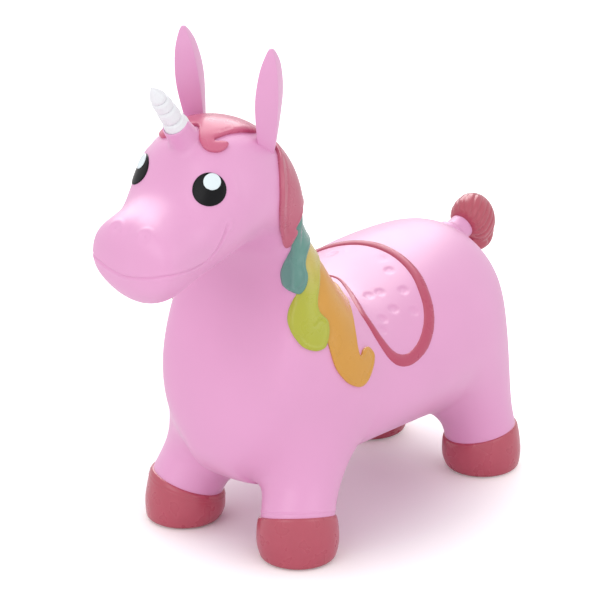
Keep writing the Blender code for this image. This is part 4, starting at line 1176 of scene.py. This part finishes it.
# %% The hooves
HOOF_SEAMS, HOOF_SEAM_HEIGHT, HOOF_SEAM_WIDTH = (0.0034, 0.0062), 0.0005, 0.0007
SOLE_EDGE = 0.0045
RIM = LEG_RADIUS + 0.0018
SWELL = RIM + 0.0020
HOOF_PROFILE = [
    (0.0, SOLE_RADIUS), (0.07 * HOOF_HEIGHT, 0.6 * SWELL + 0.4 * SOLE_RADIUS),
    (0.22 * HOOF_HEIGHT, SWELL - 0.0014), (0.44 * HOOF_HEIGHT, SWELL), (0.75 * HOOF_HEIGHT, SWELL - 0.0004),
    (0.95 * HOOF_HEIGHT, RIM + 0.0004), (HOOF_HEIGHT, RIM - 0.0010),
]


def hoof_ring(side, end, lift, radius):
    """A ring of the hoof: level at the sole, and square to the leg at the hoof line."""
    _, _, out, forward = leg_frame(side, end)
    tilt = min(1, max(0, (lift - SOLE_EDGE) / (HOOF_HEIGHT - SOLE_EDGE)))
    axis_x = np.array(Vector((side, 0, 0)).lerp(out, tilt).normalized())
    axis_y = np.array(Vector((0, -1, 0)).lerp(forward, tilt).normalized())
    cosines, sines = circle(FINE)
    return np.array(hoof_centre(side, end, lift)) + radius * (axis_x * cosines + axis_y * sines)


hoof_line = smooth_line(HOOF_PROFILE, 0.0008)
hooves = {}
for end_name, end in (("front", -1), ("rear", 1)):
    for side_name, side in (("left", 1), ("right", -1)):
        rings = [hoof_ring(side, end, 0.0, 0.9 * SOLE_RADIUS)]
        for lift, radius in hoof_line:
            if (end, side) == (-1, -1):
                seams = [bell(lift - HOOF_HEIGHT + low, HOOF_SEAM_WIDTH) for low in HOOF_SEAMS]
                radius += HOOF_SEAM_HEIGHT * sum(seams)
            rings.append(hoof_ring(side, end, lift, radius))
        rings.append(hoof_ring(side, end, HOOF_HEIGHT + 0.0002, LEG_RADIUS - 0.0015))
        hooves[f"hoof_{end_name}_{side_name}"] = loft(f"{end_name}_{side_name}_hoof", rings)
print("hooves", *hooves)

# %% The ears
EAR_FOOT, EAR_TIP = (0.0432, -0.1527, 0.411), (0.0545, -0.1600, 0.5145)
EAR_DEPTH, EAR_THICKNESS, EAR_PIVOT = 0.0198, 0.0112, 0.10
EAR_PINCH, EAR_BEND = 1.75, (0.008, 0.010)
EAR_SHAPE = [
    (-0.14, 0.40, 0.62), (0.00, 0.56, 0.76), (0.12, 0.71, 0.87), (0.24, 0.83, 0.94), (0.36, 0.93, 0.98),
    (0.48, 1.00, 1.00), (0.60, 0.99, 0.96), (0.72, 0.89, 0.85), (0.83, 0.73, 0.69), (0.92, 0.48, 0.46),
    (0.98, 0.24, 0.25), (1.00, 0.08, 0.11),
]


def ear_leaf(name, side):
    """One ear, lofted through leaf-shaped sections; returns it with its foot and its upward axis."""
    foot, tip = Vector((side * EAR_FOOT[0], *EAR_FOOT[1:])), Vector((side * EAR_TIP[0], *EAR_TIP[1:]))
    up = (tip - foot).normalized()
    fore = Vector((0, -1, 0))
    fore = (fore - up * fore.dot(up)).normalized()
    pinched = [np.sign(share) * np.abs(share) ** EAR_PINCH for share in circle(COARSE)]
    along = pinched[0] * EAR_DEPTH * np.array(fore)
    aside = pinched[1] * EAR_THICKNESS * np.array(fore.cross(up))
    rings = [
        np.array(foot.lerp(tip, share)) + along * depth + aside * thickness
        for share, depth, thickness in smooth_line(EAR_SHAPE, 0.03)
    ]
    return loft(name, rings), foot.lerp(tip, EAR_PIVOT), up


ears = {"left": ear_leaf("left_ear_leaf", 1), "right": ear_leaf("right_ear_leaf", -1)}

# %% [markdown]
# ## The tail
#
# The tail is a short pink stub and a raspberry tuft with a flick under it. The tuft is two lofts, and a real
# one has no seam between them, so a voxel remesh melts them into one skin and a few smoothing passes round
# the join. The combed lines come last, because remeshing would erase them: they follow angles round the
# tail's axis, with a little swirl.

# %% The stub and the tuft
TAIL_FOOT, TAIL_PITCH, TAIL_RADIUS = Vector((0, 0.2000, 0.2250)), math.radians(21), 0.0130
TAIL_BACK = Vector((0, math.cos(TAIL_PITCH), math.sin(TAIL_PITCH)))
STUB_RADIUS, STUB_FRONT, STUB_BACK = TAIL_RADIUS - 0.0002, -0.030, 0.0004
FLARE, FLARE_START, FLARE_LENGTH = 0.0050, 0.0165, 0.0032
TUFT_WIDTH, TUFT_HEIGHT, TUFT_END = 0.0200, 0.0280, 0.044
TAIL_BEND = (0.014, -0.0005)
COMB_LINES, COMB_DEPTH, COMB_WIDTH, COMB_SWIRL = 15, 0.0011, 0.30, 0.9
COMB_START, COMB_RISE, COMB_STOP, COMB_FALL = 0.0015, 0.004, 0.041, 0.012
VOXEL = 0.0010


def tail_ring(along, lift, pitch, half_width, half_depth):
    """An oval section of the tail, this far back from its foot and up from it, facing along the pitch."""
    centre = np.array(TAIL_FOOT) + (0, along, lift)
    up = np.array((0, -math.sin(pitch), math.cos(pitch)))
    cosines, sines = circle(COARSE)
    return centre + np.array((half_width, 0, 0)) * cosines + half_depth * up * sines


stub_rings = []
for back in np.linspace(STUB_FRONT, STUB_BACK, 40):
    radius = STUB_RADIUS + FLARE * math.exp(-max(0, back + FLARE_START) / FLARE_LENGTH)
    stub_rings.append(tail_ring(*(TAIL_BACK * back).yz, TAIL_PITCH, radius, radius))
tail_root = loft("tail_root", stub_rings)

TUFT = [(0.0003, 0.0001, 21.0, TAIL_RADIUS, TAIL_RADIUS)] + [
    (back, lift, pitch, wide * TUFT_WIDTH, high * TUFT_HEIGHT) for back, lift, pitch, wide, high in (
        (0.0035, 0.0015, 21.0, 0.84, 0.68), (0.0100, 0.0028, 14.7, 0.97, 0.90),
        (0.0190, 0.0028, 6.3, 1.0, 1.0), (0.0290, 0.0010, 0.0, 0.93, 0.90),
        (0.0370, -0.0010, 0.0, 0.72, 0.68), (0.0425, -0.0025, 0.0, 0.38, 0.36),
        (0.0440, -0.0030, 0.0, 0.12, 0.12),
    )
]
FLICK = [
    (0.0140, -0.0160, -60.0, 0.0080, 0.0080), (0.0240, -0.0230, -25.0, 0.0120, 0.0100),
    (0.0350, -0.0220, 20.0, 0.0105, 0.0085), (0.0440, -0.0165, 45.0, 0.0070, 0.0055),
    (0.0490, -0.0110, 55.0, 0.0025, 0.0020),
]


def melt(name, parts, voxel):
    """Joins closed pieces into one skin by remeshing, and smooths it."""
    bm = bmesh.new()
    for part in parts:
        bm.from_mesh(part.data)
        bpy.data.objects.remove(part)
    piece = mesh_object(name, [])
    bm.to_mesh(piece.data)
    bm.free()
    remesh = piece.modifiers.new("Remesh", "REMESH")
    remesh.mode = "VOXEL"
    remesh.voxel_size = voxel
    soften = piece.modifiers.new("Soften", "SMOOTH")
    soften.factor = 0.5
    soften.iterations = 6
    return apply_modifiers(piece)


def tail_loft(name, shape):
    """A loft through (back, up, pitch in degrees, half width, half depth) sections."""
    return loft(name, [
        tail_ring(back, lift, math.radians(pitch), wide, high)
        for back, lift, pitch, wide, high in smooth_line(shape, 0.0012, 2)
    ])


tail_brush = melt("tail_brush", [tail_loft("tuft", TUFT), tail_loft("flick", FLICK)], VOXEL)
points = points_of(tail_brush)
from_foot = points - np.array(MIDDLE + TAIL_FOOT)
back = from_foot @ np.array(TAIL_BACK)
above = from_foot @ np.array((0, -math.sin(TAIL_PITCH), math.cos(TAIL_PITCH)))
turn = np.arctan2(from_foot[:, 0], above) + COMB_SWIRL * back / TUFT_END
combed = np.abs((turn * COMB_LINES / (2 * np.pi) + 0.25) % 1 - 0.5) * 2
reach = np.clip((back - COMB_START) / COMB_RISE, 0, 1) * np.clip((COMB_STOP - back) / COMB_FALL, 0, 1)
push = -COMB_DEPTH * bell(1 - combed, COMB_WIDTH) * reach
move_points(tail_brush, points + normals_of(tail_brush) * push[:, None])
print("tail brush", len(tail_brush.data.polygons), "faces, combed", round(-push.min() * 1000, 2), "mm deep")

# %% The valve bush and its plug
VALVE_BORE, VALVE_RADIUS, VALVE_FLANGE, VALVE_LENGTH = 0.0045, 0.0068, 0.0110, 0.0120
FACE = -0.0003
FLANGE = FACE - 0.0015
PLUG_HEAD, PLUG_LENGTH, SHAFT = 0.0080, 0.0100, 0.0041
BUSH_PROFILE = [
    (VALVE_BORE + 0.0003, FLANGE), (VALVE_FLANGE - 0.0005, FLANGE), (VALVE_FLANGE, FLANGE + 0.0005),
    (VALVE_FLANGE, FACE - 0.0004), (VALVE_FLANGE - 0.0004, FACE), (VALVE_RADIUS - 0.0004, FACE + 0.0004),
    (VALVE_RADIUS - 0.0004, FLANGE + VALVE_LENGTH), (VALVE_BORE, FLANGE + VALVE_LENGTH),
    (VALVE_BORE, FLANGE + 0.0004),
]
PLUG_PROFILE = [
    (0.0, -0.0014), (0.0040, -0.0014), (0.0046, -0.0020), (PLUG_HEAD - 0.0008, -0.0020),
    (PLUG_HEAD - 0.0002, -0.0017), (PLUG_HEAD, -0.0012), (PLUG_HEAD, -0.0003), (PLUG_HEAD - 0.0003, 0.0),
    (SHAFT + 0.0002, 0.0), (SHAFT, 0.0003), (SHAFT, 0.0050), (SHAFT + 0.0003, 0.0056), (SHAFT, 0.0062),
    (SHAFT, 0.0088), (SHAFT - 0.0012, PLUG_LENGTH), (0.0, PLUG_LENGTH),
]
valve_foot = VALVE_PLACE + Vector((0, 0, BELLY))
plug_foot = valve_foot + Vector((0, 0, FLANGE - 0.0003))
valve_bush = turned("valve_bush", BUSH_PROFILE, valve_foot, (0, 0, 1), COARSE, bore=True)
air_stopper = turned("air_stopper", PLUG_PROFILE, plug_foot, (0, 0, 1), COARSE)

# %% [markdown]
# ## Paint everything and hide what it stands for
#
# Every piece takes its material, rides on a body of the frame, and hides the plain solids that MuJoCo keeps
# for collision. The ears and the tail's stub are soft and bend, but here they only stay where they were
# built, on no body.

# %% Paint, body and nodes
skin.data.transform(Matrix.Translation(MIDDLE))
bead.data.transform(Matrix.Translation(MIDDLE))
for piece, paint, slot, body, node in (
    (skin, pink_vinyl, "pink_pvc", "toy", "body_skin"),
    (bead, line_paint, "raspberry_paint", "toy", "saddle_rim"),
    *((hoof, raspberry_paint, "raspberry_paint", "toy", node) for node, hoof in hooves.items()),
    (horn_cone, horn_paint, "white_paint", "toy", "horn"),
    (crown_lock, crown_paint, "raspberry_paint", "toy", "mane_crown"),
    (raspberry_lock, mane_paint, "raspberry_paint", "toy", "mane_raspberry"),
    (teal_lock, teal_paint, "teal_paint", "toy", "mane_teal"),
    (lime_lock, lime_paint, "lime_paint", "toy", "mane_lime"),
    (orange_lock, orange_paint, "orange_paint", "toy", "mane_orange"),
    (left_eye, black_paint, "black_paint", "toy", "eye_left"),
    (left_light, glint_paint, "white_paint", "toy", "eye_glint_left"),
    (right_eye, black_paint, "black_paint", "toy", "eye_right"),
    (right_light, glint_paint, "white_paint", "toy", "eye_glint_right"),
    (valve_bush, white_plastic, "white_paint", "toy", "valve_seat"),
    (air_stopper, white_plastic, "white_paint", "plug", "air_plug"),
    (tail_brush, raspberry_paint, "raspberry_paint", "tail_end", "tail_tuft"),
):
    finish_piece(piece, paint, slot, body, node)


def bend_between(body, middle, axis, before, after):
    """The two bodies and the two points between which a soft piece turns."""
    return "toy", body, tuple(middle - axis * before + MIDDLE), tuple(middle + axis * after + MIDDLE)


for name, (ear, pivot, up) in ears.items():
    bend = bend_between(f"ear_{name}_blade", pivot, up, *EAR_BEND)
    finish_piece(ear, pink_vinyl, "pink_pvc", bend, f"ear_root_{name}", f"ear_{name}")
bend = bend_between("tail_end", TAIL_FOOT, TAIL_BACK, *TAIL_BEND)
finish_piece(tail_root, pink_vinyl, "pink_pvc", bend, "tail_stub")

# %% [markdown]
# ## Light, floor and camera
#
# A product photograph has one large softbox over and behind the object and white all round. The world gives
# a plain even level, at which a colour renders about as it was written, and the softbox gives the broad sheen
# on the back. The floor is pale and keeps the toy's soft shadow. A little light of its own, seen only by
# the camera and growing with the distance from the toy, lifts it to the white of the background. Close to the
# toy that light is left out, so the darker floor there is partly a painted shadow, and its faint pink a
# painted bounce from the toy.

# %% World and lamps
WORLD_LIGHT = 0.83
world = bpy.context.scene.world or bpy.data.worlds.new("studio")
bpy.context.scene.world = world
world.use_nodes = True
tree = world.node_tree
paths = add_node(tree, "ShaderNodeLightPath")
mirrored_too = maths(tree, "MAXIMUM", paths["Is Camera Ray"], paths["Is Glossy Ray"])
seen = maths(tree, "MAXIMUM", mirrored_too, paths["Is Transmission Ray"])
feed(tree, tree.nodes["Background"], {
    "Color": (1, 1, 1, 1), "Strength": remap(tree, seen, WORLD_LIGHT, 1.0, 0.0, 1.0),
})

TOY_MIDDLE = Vector((0, 0, 0.25))
AZIMUTH, ELEVATION = math.radians(40.2), math.radians(21.4)
RIGHT = Vector((math.cos(AZIMUTH), math.sin(AZIMUTH), 0))
AWAY = Vector((-math.sin(AZIMUTH), math.cos(AZIMUTH), 0))


def softbox(name, right, away, up, size, power, diffuse=True):
    """A square area lamp that faces the toy's middle. Without diffuse it is only seen as a sheen."""
    data = bpy.data.lights.new(name, "AREA")
    data.shape = "SQUARE"
    data.size = size
    data.energy = power
    lamp = add_object(name, data)
    lamp.location = TOY_MIDDLE + RIGHT * right + AWAY * away + Vector((0, 0, up))
    lamp.visible_diffuse = diffuse
    lamp.rotation_euler = (TOY_MIDDLE - lamp.location).to_track_quat("-Z", "Y").to_euler()


softbox("key", -0.5, 0.6, 1.9, 1.5, 6)
softbox("front fill", -1.3, -1.6, 1.1, 1.4, 8)
softbox("side fill", 1.5, -1.3, 0.9, 1.4, 5)
softbox("back", -0.4, 2.3, 2.2, 3.0, 112, diffuse=False)
print("lamps", len(bpy.data.lights), "world", WORLD_LIGHT)

# %% The floor
FLOOR_SIZE, FLOOR_ROUGHNESS = 12, 0.9
# The faint pink of the floor colour is a painted bounce of pink light from the toy, seen where the glow is
# low.
FLOOR_WITH_PAINTED_PINK_BOUNCE, FLOOR_GLOW, PAINTED_SHADOW_CORE, PAINTED_SHADOW_EDGE = (0.93, 0.90, 0.915, 1), 0.56, 0.08, 0.30
bpy.ops.mesh.primitive_plane_add(size=FLOOR_SIZE)
floor = bpy.context.active_object
floor.name = "studio_floor"
floor_paint = bpy.data.materials.new("studio floor")
floor_paint.use_nodes = True
tree = floor_paint.node_tree
place = add_node(tree, "ShaderNodeTexCoord")["Object"]
from_toy = add_node(tree, "ShaderNodeVectorMath", {0: place}, operation="LENGTH")["Value"]
# No glow close to the toy, full glow further out: the darker floor round the toy is a painted shadow.
lift = remap(tree, from_toy, 0.0, FLOOR_GLOW, PAINTED_SHADOW_CORE, PAINTED_SHADOW_EDGE, "SMOOTHSTEP")
camera_ray = add_node(tree, "ShaderNodeLightPath")["Is Camera Ray"]
feed(tree, tree.nodes["Principled BSDF"], {
    "Base Color": FLOOR_WITH_PAINTED_PINK_BOUNCE, "Roughness": FLOOR_ROUGHNESS, "Emission Color": (1, 1, 1, 1),
    "Emission Strength": maths(tree, "MULTIPLY", camera_ray, lift),
})
floor.data.materials.append(floor_paint)
print("floor", floor.name)

# %% The camera
FOCAL, SENSOR, DISTANCE, CLIP_END = 258.0, 36, 4.3, 50
PICTURE, SOLES_AT = 600, (334.8, 490.0)
data = bpy.data.cameras.new("photo view")
camera = add_object("photo view", data)
data.lens = FOCAL
data.sensor_width = SENSOR
data.clip_end = CLIP_END
forward = AWAY * math.cos(ELEVATION) - Vector((0, 0, math.sin(ELEVATION)))
up = RIGHT.cross(forward)
metres_per_pixel = DISTANCE * SENSOR / FOCAL / PICTURE
aside, lower = (metres_per_pixel * (pixel - PICTURE / 2) for pixel in SOLES_AT)
place = Matrix.Translation(MIDDLE - RIGHT * aside + up * lower - forward * DISTANCE)
camera.matrix_world = place @ Matrix((RIGHT, up, -forward)).transposed().to_4x4()
bpy.context.scene.camera = camera
bpy.context.scene.view_settings.view_transform = "Standard"
print("camera at", tuple(round(v, 3) for v in camera.matrix_world.translation))
